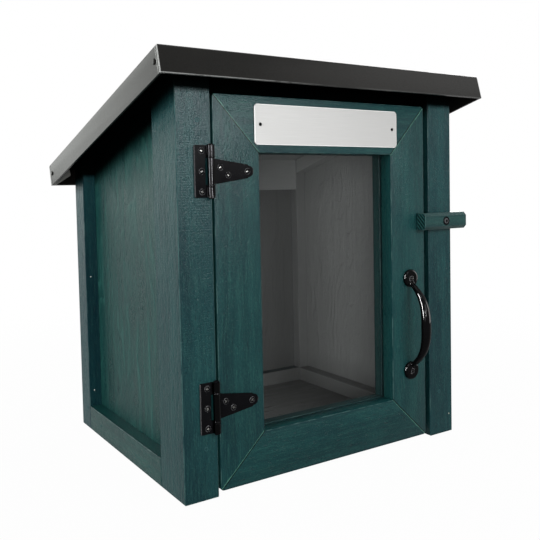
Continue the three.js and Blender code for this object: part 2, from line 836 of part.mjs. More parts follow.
// A closed skin over rings of equally many points, each end closed by a fan
function loft(positions, ringSize) {
  const rings = positions.length / 3 / ringSize;
  const index = [];
  for (let ring = 0; ring + 1 < rings; ring += 1) {
    for (let facet = 0; facet < ringSize; facet += 1) {
      const a = ring * ringSize + facet;
      const b = ring * ringSize + ((facet + 1) % ringSize);
      index.push(a, b, a + ringSize, b, b + ringSize, a + ringSize);
    }
  }
  const last = (rings - 1) * ringSize;
  for (let facet = 1; facet + 1 < ringSize; facet += 1) {
    index.push(0, facet + 1, facet);
    index.push(last, last + facet, last + facet + 1);
  }
  const geometry = new THREE.BufferGeometry();
  geometry.setAttribute("position", new THREE.Float32BufferAttribute(positions, 3));
  geometry.setIndex(index);
  return geometry;
}

const feet = [-handleCentres / 2, handleCentres / 2];
const handle = cut(
  join([handleBow(), ...feet.map(handleFoot)]),
  feet.map((z) => screwTool(handleScrew).translate(0, -footThickness, z)),
);
add(door, "pull_handle", handle, blackEnamel, handleX, front - fitGap, handleHeight);
handleScrewHeights.forEach((z, index) => {
  addScrew(door, "pull_handle_screw_" + (index + 1), handleScrew, handleX, handleFace, z);
});

// Bare plate on the top rail
const plateOutline = roundedRectangle(
  -plateWidth / 2, -plateHeight / 2, plateWidth / 2, plateHeight / 2, plateCornerRadius,
);
const plate = cut(
  through(plateOutline, -plateThickness, 0, plateEase),
  plateScrewXs.map((x) => screwTool(plateScrew).translate(x - plateX, -plateThickness, 0)),
);
add(door, "name_plate", plate, brushedMetal, plateX, front - fitGap, plateZ);
plateScrewXs.forEach((x, index) => {
  addScrew(door, "name_plate_screw_" + (index + 1), plateScrew, x, plateFace, plateZ);
});

export default group;
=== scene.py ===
"""Finishes a street book exchange box: timber, roof, hinges, handle, plate, pane, and a studio."""

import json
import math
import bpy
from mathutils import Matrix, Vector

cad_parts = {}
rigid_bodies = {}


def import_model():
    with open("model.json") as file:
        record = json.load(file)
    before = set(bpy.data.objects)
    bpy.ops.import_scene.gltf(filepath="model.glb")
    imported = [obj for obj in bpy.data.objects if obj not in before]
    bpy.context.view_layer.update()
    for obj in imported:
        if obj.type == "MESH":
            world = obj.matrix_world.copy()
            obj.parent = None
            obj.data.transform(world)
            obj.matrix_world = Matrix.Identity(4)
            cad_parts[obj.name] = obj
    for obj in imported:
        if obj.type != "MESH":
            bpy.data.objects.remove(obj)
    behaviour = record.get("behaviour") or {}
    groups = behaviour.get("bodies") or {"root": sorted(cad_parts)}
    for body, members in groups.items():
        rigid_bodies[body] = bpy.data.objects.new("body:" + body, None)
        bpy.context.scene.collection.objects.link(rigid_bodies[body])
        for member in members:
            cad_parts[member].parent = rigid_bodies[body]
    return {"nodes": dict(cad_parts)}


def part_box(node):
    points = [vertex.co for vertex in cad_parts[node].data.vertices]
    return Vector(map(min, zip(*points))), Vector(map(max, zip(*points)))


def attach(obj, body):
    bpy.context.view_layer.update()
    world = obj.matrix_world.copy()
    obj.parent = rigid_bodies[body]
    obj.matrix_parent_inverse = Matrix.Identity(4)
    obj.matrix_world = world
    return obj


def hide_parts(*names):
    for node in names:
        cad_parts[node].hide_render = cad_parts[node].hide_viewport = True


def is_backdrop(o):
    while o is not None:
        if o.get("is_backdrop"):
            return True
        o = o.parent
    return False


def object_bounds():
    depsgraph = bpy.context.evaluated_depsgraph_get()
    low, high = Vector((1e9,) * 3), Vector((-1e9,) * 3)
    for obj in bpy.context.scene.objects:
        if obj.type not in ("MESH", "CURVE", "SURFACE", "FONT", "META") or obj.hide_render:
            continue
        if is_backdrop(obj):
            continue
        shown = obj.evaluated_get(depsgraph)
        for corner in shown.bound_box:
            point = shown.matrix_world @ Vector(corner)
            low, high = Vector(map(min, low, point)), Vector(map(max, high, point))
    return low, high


bl_info = {
    "name": "Street book exchange box",
    "version": (1, 0, 0),
    "blender": (4, 5, 0),
    "location": "3D View > Sidebar > Book box",
    "description": "Finishes the timber cabinet, its roof, door and fittings, and sets up a studio",
    "category": "Object",
}

from collections import namedtuple

import bmesh
import bpy
from bpy.props import FloatProperty, FloatVectorProperty, PointerProperty
from mathutils import Matrix, Vector

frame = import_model()
CAD_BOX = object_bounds()
NODES = frame["nodes"]
MM = 0.001
X, Y, Z = range(3)
WHITE = (1, 1, 1)

# A solid's points are welded within this distance, and its edges shaded smooth up to this angle
WELD_DISTANCE = 0.001 * MM
SMOOTH_ANGLE = math.radians(38)

# Which way the grain runs in each squared piece of timber
GRAIN = {
    Z: (
        "front_post_left", "front_post_right", "rear_post_left", "rear_post_right",
        "door_stile_left", "door_stile_right", "door_stop_left", "door_stop_right",
        "glazing_bead_left", "glazing_bead_right",
    ),
    X: (
        "door_rail_top", "door_rail_bottom", "front_header", "front_sill", "back_header",
        "back_rail", "glazing_bead_top", "glazing_bead_bottom", "turn_button",
    ),
    Y: ("side_rail_left", "side_rail_right", "roof_cleat_left", "roof_cleat_right"),
}

# Which way the grain runs in each figured board, and across which axis its rings arch
BOARDS = {
    "side_panel_left": (Z, Y), "side_panel_right": (Z, Y),
    "back_panel": (Z, X), "floor_board": (X, Y), "roof_deck": (Y, X),
}
MITRED = ("door_stile_left", "door_stile_right", "door_rail_top", "door_rail_bottom")

# Each group of timber took the stain a little differently
PLAIN_TINT = (1, 1, 1)
TINTS = {
    "front_post": (1.0, 0.985, 0.98),
    "rear_post": (1.0, 0.98, 1.06),
    "door_": (1.0, 1.05, 0.99),
    "glazing_": (1.0, 1.05, 0.99),
    "side_": (1.1, 1.14, 1.0),
    "turn_button": (1.8, 1.12, 1.0),
}

# The grey faces inside the box: the axis each one looks along, which way, and its share of the
# lining's colour. The shares paint light and shade: faces that get little light are made lighter
# and faces that get much are made darker, so that the inside looks evenly lit. Dust dulls the
# lining in places. The inside reaches this far from the middle.
LINED = {
    "side_panel_left": [(X, 1, 0.9)],
    "side_panel_right": [(X, -1, 1.25)],
    "back_panel": [(Y, -1, 0.62)],
    "rear_post_left": [(X, 1, 0.7), (Y, -1, 0.7)],
    "rear_post_right": [(X, -1, 1.1), (Y, -1, 0.9)],
    "back_header": [(Y, -1, 1.5), (Z, -1, 1.2)],
    "back_rail": [(Y, -1, 0.8)],
    "roof_cleat_left": [(X, 1, 1.0), (Z, -1, 1.3)],
    "roof_cleat_right": [(X, -1, 1.6), (Z, -1, 1.7)],
    "roof_deck": [(Z, -1, 1.7)],
    "side_rail_left": [(X, 1, 0.9), (Z, 1, 0.6)],
    "side_rail_right": [(X, -1, 1.1), (Z, 1, 0.6)],
    "floor_board": [(Z, 1, 0.5)],
}
LINING_DUST = 0.88
INSIDE = 177.5 * MM

# Pieces that reach up under the roof, where a dark matt layer paints the roof's shadow
SHADED_UNDER_ROOF = (
    "front_post", "rear_post", "door_rail_top", "door_stile", "front_header", "side_panel",
    "roof_deck", "roof_cleat", "back_header", "back_panel",
)

# Small knots, specks and chips in millimetres: two axes, place, half width and height, and
# whether it is pale
SPOTS = {
    "side_panel_left": [
        (Y, Z, (-33.6, 301.0), (1.1, 5.2), False),
        (Y, Z, (61.7, 284.0), (1.3, 1.5), False),
        (Y, Z, (-1.5, 286.0), (1.0, 1.2), False),
    ],
    "side_panel_right": [
        (Y, Z, (38.0, 262.0), (1.2, 4.0), False),
        (Y, Z, (-52.0, 190.0), (1.1, 1.4), False),
    ],
    "front_post_right": [(X, Z, (193.8, 23.7), (0.9, 0.9), True)],
    "door_rail_bottom": [(X, Y, (87.2, -141.3), (1.3, 1.3), True)],
}

# Hinges: the axis of their pins in X and Y, the radius of a rolled barrel, and how far the raised
# rings stand from the middle of a hinge
PIN = (-161.7 * MM, -169.8 * MM)
BARREL = 4.4 * MM
RING_OFFSET = 15.25 * MM
RING_FACETS, CUP_FACETS = 36, 40

# The handle's bow has this many steps along it and round it, and a foot this many round it
BOW_STATIONS, BOW_FACETS, FOOT_FACETS = 72, 36, 48

# Small marks in millimetres: filled screw holes in X and Z on the fronts of the front posts, and
# in Y and Z on both sides, and pins in X and Z on the fronts of both rear posts
POST_FILLERS = [(-173.2, 55), (-174.6, 403), (175.6, 56.7), (177.6, 401)]
SIDE_FILLERS = [(-72.4, 12.5), (88.6, 16.3), (142.7, 28)]
PINS = [(193, 213.8), (192.8, 54)]
POST_FILLER_FACETS, SIDE_FILLER_FACETS, PIN_FACETS = 20, 16, 16

# What a soft lamp lights: everything, matt surfaces alone, or the gloss of the pieces whose names
# start as listed here
ALL, MATT = "all", "matt"
REACHED = {
    "timber": ("front_post", "rear_post", "side_", "door_", "glazing_", "turn_button"),
    "fittings": ("hinge_", "pull_handle", "barrel_rings", "button_screw"),
    "handle": ("pull_handle",),
}

# Name, place, aim, width and height, radiance, colour and what it lights
LAMPS = (
    ("lamp_front", (0.22, -1.10, 0.57), (-0.05, -0.1, 0.33), (0.60, 0.36), 11.5, WHITE, ALL),
    ("lamp_sheen", (0.04, -1.10, 0.62), (-0.18, -0.17, 0.36), (0.46, 0.40), 14.5, WHITE, "timber"),
    ("lamp_fill", (-1.10, -1.50, 0.36), (0.1, 0.0, 0.24), (0.80, 0.70), 7.0, WHITE, ALL),
    ("lamp_left", (-0.78, 1.25, 0.66), (-0.2, 0.0, 0.3), (0.95, 0.60), 1.85, (0.955, 1, 0.95), ALL),
    ("lamp_right", (1.07, -0.92, 1.28), (0.1, -0.1, 0.4), (0.70, 0.60), 2.0, (1, 0.99, 0.97), ALL),
    ("lamp_back", (1.25, 1.10, 0.95), (0, 0, 0.25), (1.10, 0.90), 7.5, WHITE, ALL),
    ("lamp_side", (1.60, 0.35, 0.60), (0, 0.05, 0.22), (0.60, 0.90), 9.0, WHITE, MATT),
    ("lamp_strip", (-1.48, -0.35, 0.82), (0, -0.2, 0.22), (0.40, 0.90), 18.5, WHITE, MATT),
    ("lamp_top", (0.10, -0.10, 2.10), (0, 0, 0), (1.60, 1.60), 2.0, WHITE, ALL),
    ("lamp_glint", (-0.24, -1.45, 0.40), (-0.16, -0.2, 0.30), (0.06, 0.34), 420, WHITE, "fittings"),
    ("lamp_streak", (-1.60, -0.32, 0.50), (0.12, -0.2, 0.16), (0.12, 1.10), 210, WHITE, "fittings"),
    ("lamp_bow", (-1.55, -0.42, 0.80), (0.125, -0.2, 0.26), (0.24, 1.50), 800, WHITE, "handle"),
    ("lamp_rim", (-0.12, -0.82, 1.20), (0.12, -0.2, 0.24), (0.34, 0.20), 26, WHITE, "fittings"),
    ("lamp_edge", (1.10, -0.66, 0.06), (0.125, -0.2, 0.22), (0.46, 1.40), 18, WHITE, "handle"),
)

# The floor's half width, how far it lies below the box, and how far out from the middle it starts
# to turn plain white, for the camera and for gloss
FLOOR_REACH, FLOOR_DROP = 12, 0.5 * MM
NEAR_FLOOR, NEAR_MIRRORED_FLOOR = 0.35, 0.6

# The camera's place, the way its right, its top and its back face, and its lens
CAMERA_PLACE = (-0.51153, -0.82141, 0.32733)
CAMERA_AXES = (
    (0.83883205, -0.54401199, -0.02029164),
    (0.04378026, 0.03025925, 0.99858283),
    (-0.54262702, -0.83853165, 0.04919941),
)
CAMERA_LENS, CAMERA_SENSOR = 46.865, 36
CAMERA_SHIFT = -0.0815
CAMERA_CLIP = (0.01, 60)

# ---------------------------------------------------------------- the roof's slope
ROOF_PITCH = math.radians(15)
ROOF_COS, ROOF_SIN = math.cos(ROOF_PITCH), math.sin(ROOF_PITCH)
RoofLimits = namedtuple("RoofLimits", "first last foot top")


def down_slope(y, z):
    """How far down the roof's slope a point lies, in numbers or in shader values."""
    return y * ROOF_COS - z * ROOF_SIN


def roof_level(y, z):
    """How high a point lies, square to the roof."""
    return y * ROOF_SIN + z * ROOF_COS


def roof_limits():
    """Where the folded roof starts and ends down its slope, and its lowest and highest level."""
    points = [vertex.co for vertex in NODES["roof_pan"].data.vertices]
    slopes = [down_slope(point.y, point.z) for point in points]
    levels = [roof_level(point.y, point.z) for point in points]
    return RoofLimits(min(slopes), max(slopes), min(levels), max(levels))


ROOF = roof_limits()


# ---------------------------------------------------------------- shader sums
class Value:
    """An output of a node tree. Python's operators add the Math nodes for it."""

    def __init__(self, graph, socket):
        self.graph, self.socket = graph, socket

    def __add__(self, other):
        return self.graph.maths("ADD", self, other)

    __radd__ = __add__

    def __sub__(self, other):
        return self.graph.maths("SUBTRACT", self, other)

    def __rsub__(self, other):
        return self.graph.maths("SUBTRACT", other, self)

    def __mul__(self, other):
        return self.graph.maths("MULTIPLY", self, other)

    __rmul__ = __mul__

    def __truediv__(self, other):
        return self.graph.maths("DIVIDE", self, other)

    def __rtruediv__(self, other):
        return self.graph.maths("DIVIDE", other, self)

    def __pow__(self, other):
        return self.graph.maths("POWER", self, other)

    def __abs__(self):
        return self.graph.maths("ABSOLUTE", self)

    def least(self, other):
        return self.graph.maths("MINIMUM", self, other)

    def most(self, other):
        return self.graph.maths("MAXIMUM", self, other)

    def above(self, low, high):
        """0 below low, 1 above high, and a smooth step between. A low over high turns it round."""
        ends = (high, low, 1, 0) if low > high else (low, high, 0, 1)
        names = ("From Min", "From Max", "To Min", "To Max")
        inputs = {"Value": self, **dict(zip(names, ends))}
        return self.graph.node("MapRange", {"interpolation_type": "SMOOTHSTEP"}, inputs)


class Graph:
    """A material's or world's node tree, emptied, with one method that adds any node."""

    def __init__(self, owner):
        owner.use_nodes = True
        self.tree = owner.node_tree
        self.tree.nodes.clear()

    def made(self, kind, settings=None, inputs=None):
        """Adds a node: first its settings, then the values or links of its sockets."""
        node = self.tree.nodes.new("ShaderNode" + kind)
        for name, value in (settings or {}).items():
            setattr(node, name, value)
        for name, value in (inputs or {}).items():
            socket = picked(node.inputs, name)
            if isinstance(value, Value):
                self.tree.links.new(value.socket, socket)
            else:
                socket.default_value = value
        return node

    def node(self, kind, settings=None, inputs=None, output=0):
        """Adds a node and gives one of its outputs."""
        return Value(self, picked(self.made(kind, settings, inputs).outputs, output))

    def maths(self, operation, *values):
        return self.node("Math", {"operation": operation}, dict(enumerate(values)))

    def place(self):
        """The piece's own coordinates in metres, as one vector and as three numbers."""
        vector = self.node("TexCoord", output="Object")
        return vector, self.split(vector)

    def split(self, vector):
        node = self.made("SeparateXYZ", inputs={0: vector})
        return [Value(self, node.outputs[axis]) for axis in (X, Y, Z)]

    def join(self, parts):
        return self.node("CombineXYZ", inputs=dict(enumerate(parts)))

    def scaled(self, vector, factors):
        return self.node("VectorMath", {"operation": "MULTIPLY"}, {0: vector, 1: factors})

    def shifted(self, vector, offset):
        return self.node("VectorMath", {"operation": "ADD"}, {0: vector, 1: offset})

    def noise(self, vector, detail=2, roughness=0.5):
        inputs = {"Vector": vector, "Scale": 1, "Detail": detail, "Roughness": roughness}
        return self.node("TexNoise", inputs=inputs)

    def mix(self, factor, a, b):
        """Mixes two colours."""
        settings = {"data_type": "RGBA", "clamp_factor": True}
        inputs = {"Factor_Float": factor, "A_Color": colour(a), "B_Color": colour(b)}
        return self.node("Mix", settings, inputs, "Result_Color")

    def coats(self, base, *coats):
        """Mixes coats over a base one after another, each a factor and a colour."""
        for factor, tone in coats:
            base = self.mix(factor, base, tone)
        return base

    def bump(self, height, distance, strength):
        inputs = {"Height": height, "Distance": distance, "Strength": strength}
        return self.node("Bump", inputs=inputs)

    def principled(self, inputs):
        return self.node("BsdfPrincipled", inputs=inputs)

    def blend(self, factor, a, b):
        """Mixes two shaders."""
        return self.node("MixShader", inputs={0: factor, 1: a, 2: b})

    def finish(self, shader, kind="Material"):
        node = self.made("Output" + kind)
        self.tree.links.new(shader.socket, node.inputs["Surface"])


def picked(sockets, key):
    """One of a node's sockets, by its number, its identifier, or else its name."""
    if isinstance(key, int):
        return sockets[key]
    found = [s for s in sockets if s.identifier == key] + [s for s in sockets if s.name == key]
    if not found:
        raise KeyError(f"There is no socket {key}")
    return found[0]


def colour(value):
    """A colour for a socket, which has a fourth number."""
    return value if isinstance(value, Value) or len(value) == 4 else (*value, 1)


def toned(value, by):
    """A colour made darker or lighter by one factor, or tinted by three."""
    factors = by if isinstance(by, tuple) else (by, by, by)
    return [number * factor for number, factor in zip(value, factors)]


def off_axis(a, b):
    """How far a point lies from an axis, from its two offsets."""
    return (a ** 2 + b ** 2) ** 0.5


def new_material(name):
    """A fresh material, and the graph of its empty tree."""
    material = bpy.data.materials.new(name)
    return material, Graph(material)


def paint(obj, material):
    """Gives the piece this one material."""
    obj.data.materials.clear()
    obj.data.materials.append(material)


# ---------------------------------------------------------------- meshes
def new_piece(name, mesh_builder, body, material, smooth=True):
    """Makes a mesh piece that rides on a body and takes its finish from a slot."""
    mesh = bpy.data.meshes.new(name)
    build = bmesh.new()
    mesh_builder(build)
    bmesh.ops.recalc_face_normals(build, faces=build.faces)
    build.to_mesh(mesh)
    build.free()
    piece = bpy.data.objects.new(name, mesh)
    bpy.context.scene.collection.objects.link(piece)
    for polygon in mesh.polygons:
        polygon.use_smooth = smooth
    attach(piece, body)
    paint(piece, material)
    return piece


def around(facets):
    """The cosine and sine of even steps round a circle."""
    angles = (math.tau * facet / facets for facet in range(facets))
    return [(math.cos(angle), math.sin(angle)) for angle in angles]


def add_rings(build, rings, closed=False):
    """A skin over rings of equally many points: capped at each end, or closed on itself."""
    loops = [[build.verts.new(point) for point in ring] for ring in rings]
    count = len(loops[0])
    for near, far in zip(loops, loops[1:] + loops[:closed]):
        for i in range(count):
            j = (i + 1) % count
            build.faces.new((near[i], near[j], far[j], far[i]))
    if not closed:
        build.faces.new(loops[0][::-1])
        build.faces.new(loops[-1])


def add_turned(build, profile, place, facets, closed=False):
    """A profile of (radius, depth) turned round the Y axis through place. Depth runs back."""
    rings = [
        [place + Vector((radius * cos, depth, radius * sin)) for cos, sin in around(facets)]
        for radius, depth in profile
    ]
    add_rings(build, rings, closed)


def add_block(build, low, high, turn):
    """A squared block between two corners, turned about the origin."""
    shape = Matrix.Translation((low + high) / 2) @ Matrix.Diagonal((*(high - low), 1))
    bmesh.ops.create_cube(build, size=1, matrix=turn @ shape)


def soften_group():
    """A modifier tree that welds a solid's facets, and shades them smooth up to an angle."""
    tree = bpy.data.node_groups.get("soften")
    if tree:
        return tree
    tree = bpy.data.node_groups.new("soften", "GeometryNodeTree")
    for way in ("INPUT", "OUTPUT"):
        tree.interface.new_socket("Geometry", in_out=way, socket_type="NodeSocketGeometry")
    nodes = tree.nodes
    start, end = nodes.new("NodeGroupInput"), nodes.new("NodeGroupOutput")
    bare = nodes.new("GeometryNodeRemoveAttribute")
    bare.inputs["Name"].default_value = "custom_normal"
    weld = nodes.new("GeometryNodeMergeByDistance")
    weld.inputs["Distance"].default_value = WELD_DISTANCE
    smooth, sharp = (nodes.new("GeometryNodeSetShadeSmooth") for _ in range(2))
    smooth.domain, sharp.domain = "FACE", "EDGE"
    sharp.inputs["Shade Smooth"].default_value = False
    angle, steeper = nodes.new("GeometryNodeInputMeshEdgeAngle"), nodes.new("FunctionNodeCompare")
    steeper.operation = "GREATER_THAN"
    steeper.inputs[1].default_value = SMOOTH_ANGLE
    link = tree.links.new
    for a, b in ((start, bare), (bare, weld), (weld, smooth), (smooth, sharp), (sharp, end)):
        link(a.outputs[0], b.inputs[0])
    link(angle.outputs["Unsigned Angle"], steeper.inputs[0])
    link(steeper.outputs[0], sharp.inputs["Selection"])
    return tree


def soften(obj, bevel=0):
    """Welds and smooths a packed solid, and rounds its sharp edges by a bevel's width."""
    obj.modifiers.new("soften", "NODES").node_group = soften_group()
    if bevel:
        rounding = obj.modifiers.new("rounding", "BEVEL")
        rounding.width = bevel
        rounding.segments = 2
        rounding.limit_method = "ANGLE"
        rounding.angle_limit = SMOOTH_ANGLE
        obj.modifiers.new("even", "WEIGHTED_NORMAL").keep_sharp = True


# ---------------------------------------------------------------- sizes and colours
def shade(name, description, default):
    return FloatVectorProperty(
        name=name, description=description, default=default, subtype="COLOR", min=0, max=1,
    )


def length(name, description, default):
    return FloatProperty(
        name=name, description=description, default=default, min=0, unit="LENGTH", precision=5,
    )


def share(name, description, default):
    return FloatProperty(
        name=name, description=description, default=default, min=0, max=1, subtype="FACTOR",
    )


def plain(name, description, default):
    return FloatProperty(name=name, description=description, default=default, min=0, max=100)


class TimberFinish(bpy.types.PropertyGroup):
    """Stain on the timber."""

    deep: shade("Deep stain", "Colour where the stain sits thickest", (0.0022, 0.0190, 0.0240))
    middle: shade("Middle stain", "Colour over most of a board", (0.0068, 0.0430, 0.0455))
    light: shade("Light stain", "Colour on the hard, raised grain", (0.0190, 0.0740, 0.0660))
    end: shade("End grain", "Colour where cut ends drink the stain", (0.0018, 0.0150, 0.0190))
    worn: shade("Worn edge", "Colour where an edge has rubbed thin", (0.060, 0.125, 0.115))
    glue: shade("Glue line", "Colour of the glue beside a mitre", (0.058, 0.165, 0.125))
    chip: shade("Chip", "Colour of the wood that shows in a chip", (0.30, 0.32, 0.27))
    lining: shade("Lining", "Colour of the plain grey faces inside the box", (0.39, 0.39, 0.385))
    # Painted shadow under the roof: the colour of its dark matt layer, and further down how far it
    # reaches
    roof_shadow_colour: shade("Shadow", "Colour of the dirt right under the roof", (0.0006, 0.0012, 0.0012))
    fibre: length("Fibre width", "Width of a fine streak of grain", 1.7 * MM)
    coarse: length("Coarse grain", "Width of the coarse raised grain on the sides", 4.5 * MM)
    band: length("Band width", "Width of a broad streak of grain", 12 * MM)
    speck: length("Speck size", "Size of the raised specks in the stain", 1.45 * MM)
    ripple: length("Ripple pitch", "Pitch of the planer's faint ripples", 2.6 * MM)
    saw: length("Saw pitch", "Pitch of the saw marks on a cut end", 5.4 * MM)
    edge: length("Edge width", "How far an edge is worn", 1.3 * MM)
    front_roof_shadow: length("Soot on the front", "How far down the dirt on the front reaches", 6.5 * MM)
    side_roof_shadow: length("Soot on the sides", "How far down the dirt on the sides reaches", 24 * MM)
    relief: length("Relief", "Depth of the raised grain", 0.62 * MM)
    roughness: share("Roughness", "Roughness of the stained surface", 0.32)
    shine: share("Shine", "Strength of the surface's reflection", 0.12)


class RoofFinish(bpy.types.PropertyGroup):
    """Paint on the folded roof."""

    paint: shade("Paint", "Colour of the roof's satin paint", (0.0060, 0.0058, 0.0052))
    # The bare metal's colour and the edge's width also draw the painted highlight along the hem
    metal: shade("Bare metal", "Colour of the metal that shows at a cut edge", (0.46, 0.47, 0.46))
    zinc: shade("Clip", "Colour of the clips behind the corners", (0.42, 0.42, 0.40))
    dust: shade("Dust", "Colour of the dust in the runs on top", (0.026, 0.026, 0.024))
    edge: length("Edge width", "Width of the bare line at a cut edge", 0.9 * MM)
    fold: length("Corner fold", "How far the end flange is folded round onto the side", 4.2 * MM)
    proud: length("Fold height", "How far the fold stands off the side flange", 0.35 * MM)
    grain: length("Paint grain", "Size of the paint's fine grain", 0.9 * MM)
    roughness: share("Roughness", "Roughness of the paint", 0.27)
    shine: share("Shine", "Strength of the paint's reflection", 0.088)


class FittingFinish(bpy.types.PropertyGroup):
    """Black lacquer on the hinges and screws, and enamel on the handle."""

    lacquer: shade("Lacquer", "Colour of the hinges", (0.0032, 0.0032, 0.0038))
    enamel: shade("Enamel", "Colour of the pull handle", (0.0015, 0.0015, 0.0017))
    # The worn colour also paints the highlight along each hinge sheet's edge
    worn: shade("Worn lacquer", "Colour where an edge has rubbed through", (0.13, 0.13, 0.135))
    # The steel's colour paints the glint in each screw's cross
    steel: shade("Steel", "Colour of the bright steel in a screw's cross", (0.27, 0.27, 0.26))
    barrel: shade("Barrel", "How much the rolled barrels reflect", (0.0052, 0.0052, 0.0055))
    grain: length("Lacquer grain", "Size of the lacquer's fine grain", 0.8 * MM)
    cup: length("Cup radius", "Radius of the cup round the turn button's screw", 5.8 * MM)
    ring: length("Ring radius", "Radius of the raised rings on the barrels", 4.3 * MM)
    ring_height: length("Ring height", "Height of each raised ring", 2.2 * MM)
    bevel: length("Edge rounding", "Rounding of the sheet's edges", 0.45 * MM)
    roughness: share("Lacquer roughness", "Roughness of the hinges", 0.16)
    shine: share("Lacquer shine", "Strength of the lacquer's reflection", 0.015)
    enamel_roughness: share("Enamel roughness", "Roughness of the pull handle", 0.055)
    enamel_shine: share("Enamel shine", "Strength of the enamel's reflection", 0.04)


class PlateFinish(bpy.types.PropertyGroup):
    """Brushed metal of the bare plate."""

    metal: shade("Plate", "Colour of the brushed metal", (0.445, 0.445, 0.438))
    edge: shade("Plate edge", "Colour of the bright line round the plate", (0.92, 0.92, 0.91))
    brush: length("Brush width", "Width of a brush line", 0.35 * MM)
    bevel: length("Edge rounding", "Rounding of the plate's edges", 0.25 * MM)
    roughness: share("Roughness", "Roughness of the brushed face", 0.42)
    shine: share("Shine", "Strength of the face's reflection", 0.2)
    metallic: share("Metallic", "How far the face reflects as metal does", 0.10)


class PaneFinish(bpy.types.PropertyGroup):
    """The clear pane."""

    tint: shade("Tint", "Colour that the pane gives to what is behind it", (0.90, 0.91, 0.91))
    dust: shade("Dust", "Colour of the fine dust on the pane", (0.8, 0.8, 0.79))
    # The dust's share also stands in for the reflection the pane has no gloss for: painted
    # reflection
    dust_and_reflection: share("Haze", "Share of the light that fine dust on each face scatters", 0.004)


class HandleShape(bpy.types.PropertyGroup):
    """Sizes of the pull handle."""

    root: length("Root", "How far inside each foot's middle the bow starts", 6 * MM)
    projection: length("Projection", "How far the bow stands off its feet", 26.2 * MM)
    width: length("Width", "Width of the bow at its middle", 13.6 * MM)
    thickness: length("Thickness", "Thickness of the bow at its middle", 11 * MM)
    waist: share("Waist", "Share of its middle size that the bow has at its ends", 0.46)
    flare: share("Flare", "How much the bow widens again where it meets a foot", 0.28)
    power: plain("Power", "How square the bow's curve is", 3)
    foot: length("Foot radius", "Radius of each round foot", 11.4 * MM)
    foot_height: length("Foot height", "Height of each foot", 4.2 * MM)
    screw: length("Screw radius", "Radius of the sunk screw heads", 3.4 * MM)
    skin: length("Skin", "Size of the facets of the fused skin", 0.42 * MM)


class Marks(bpy.types.PropertyGroup):
    """Filled screw holes and panel pins."""

    filler: length("Filler radius", "Radius of a filled screw hole", 2.5 * MM)
    lift: length("Filler height", "How far a filler's rim stands off the timber", 0.22 * MM)
    pin: length("Pin radius", "Radius of a panel pin's head", 1.1 * MM)
    filler_colour: shade("Filler", "Colour of the stained filler", (0.012, 0.045, 0.047))
    pin_colour: shade("Pin", "Colour of the bright pin heads", (0.55, 0.56, 0.54))


class Studio(bpy.types.PropertyGroup):
    """Floor, lamps and background."""

    floor: shade("Floor", "Colour of the floor", (0.28, 0.28, 0.28))
    sky: plain("Sky", "Light from all round on matt surfaces", 0.11)
    near: share("Floor light", "Share of white that the camera sees in the near floor", 0.98)
    mirrored: share("Mirrored floor", "Share of white that gloss sees in the near floor", 0.5)
    spread: length("Floor spread", "How far out the floor has turned to plain white", 1.3)


SETTINGS = {
    "book_box_timber": TimberFinish,
    "book_box_roof": RoofFinish,
    "book_box_fittings": FittingFinish,
    "book_box_plate": PlateFinish,
    "book_box_pane": PaneFinish,
    "book_box_handle": HandleShape,
    "book_box_marks": Marks,
    "book_box_studio": Studio,
}


# ---------------------------------------------------------------- timber
def edge_distance(parts, box):
    """How far a point on a squared piece is from its nearest edge: the middle one of its
    distances from the faces."""
    low, high = box
    a, b, c = ((parts[axis] - low[axis]).least(high[axis] - parts[axis]) for axis in (X, Y, Z))
    return a.least(b).most(a.most(b).least(c))


def enclosed(parts):
    """1 inside the box: between its sides, behind the header and before the back's middle."""
    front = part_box("front_header")[1].y
    back = sum(corner.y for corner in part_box("back_panel")) / 2
    step = 0.5 * MM
    within = abs(parts[X]).above(INSIDE + step, INSIDE) * parts[Y].above(back + step, back)
    return within * parts[Y].above(front - step, front)


def mitre_lines():
    """The four mitres of the door, each from its outer corner to the corner of the opening."""
    stile_left, stile_right, rail_top, rail_bottom = (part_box(name) for name in MITRED)
    lines = []
    for stile, outer, inner in ((stile_left, 0, 1), (stile_right, 1, 0)):
        for rail, low, high in ((rail_bottom, 0, 1), (rail_top, 1, 0)):
            lines.append(((stile[outer].x, rail[low].z), (stile[inner].x, rail[high].z)))
    return lines


def seam(graph, across, up, start, end, seed):
    """A mitre: the line of glue beside it, which widens and wanders, and the dark gap along it."""
    run = Vector(end) - Vector(start)
    unit = run.normalized()
    along = (across - start[0]) * unit.x + (up - start[1]) * unit.y
    aside = (across - start[0]) * -unit.y + (up - start[1]) * unit.x
    wander = graph.noise(graph.join([along * 110, seed, 0]), 4, 0.65)
    outer = along.above(run.length * 0.5, 0)
    wide = wander.above(0.38, 0.68) * 0.45 + outer * wander.above(0.36, 0.66) * 0.9 + 0.40
    inside = along.above(-1 * MM, 0) * along.above(run.length + 1 * MM, run.length)
    glue = (wide * MM - abs(aside - 0.7 * MM)).above(0, 0.30 * MM)
    glue = glue * (wander.above(0.25, 0.5) * 0.4 + 0.6)
    gap = abs(aside + 0.25 * MM).above(0.75 * MM, 0.45 * MM)
    return glue * inside, gap * inside


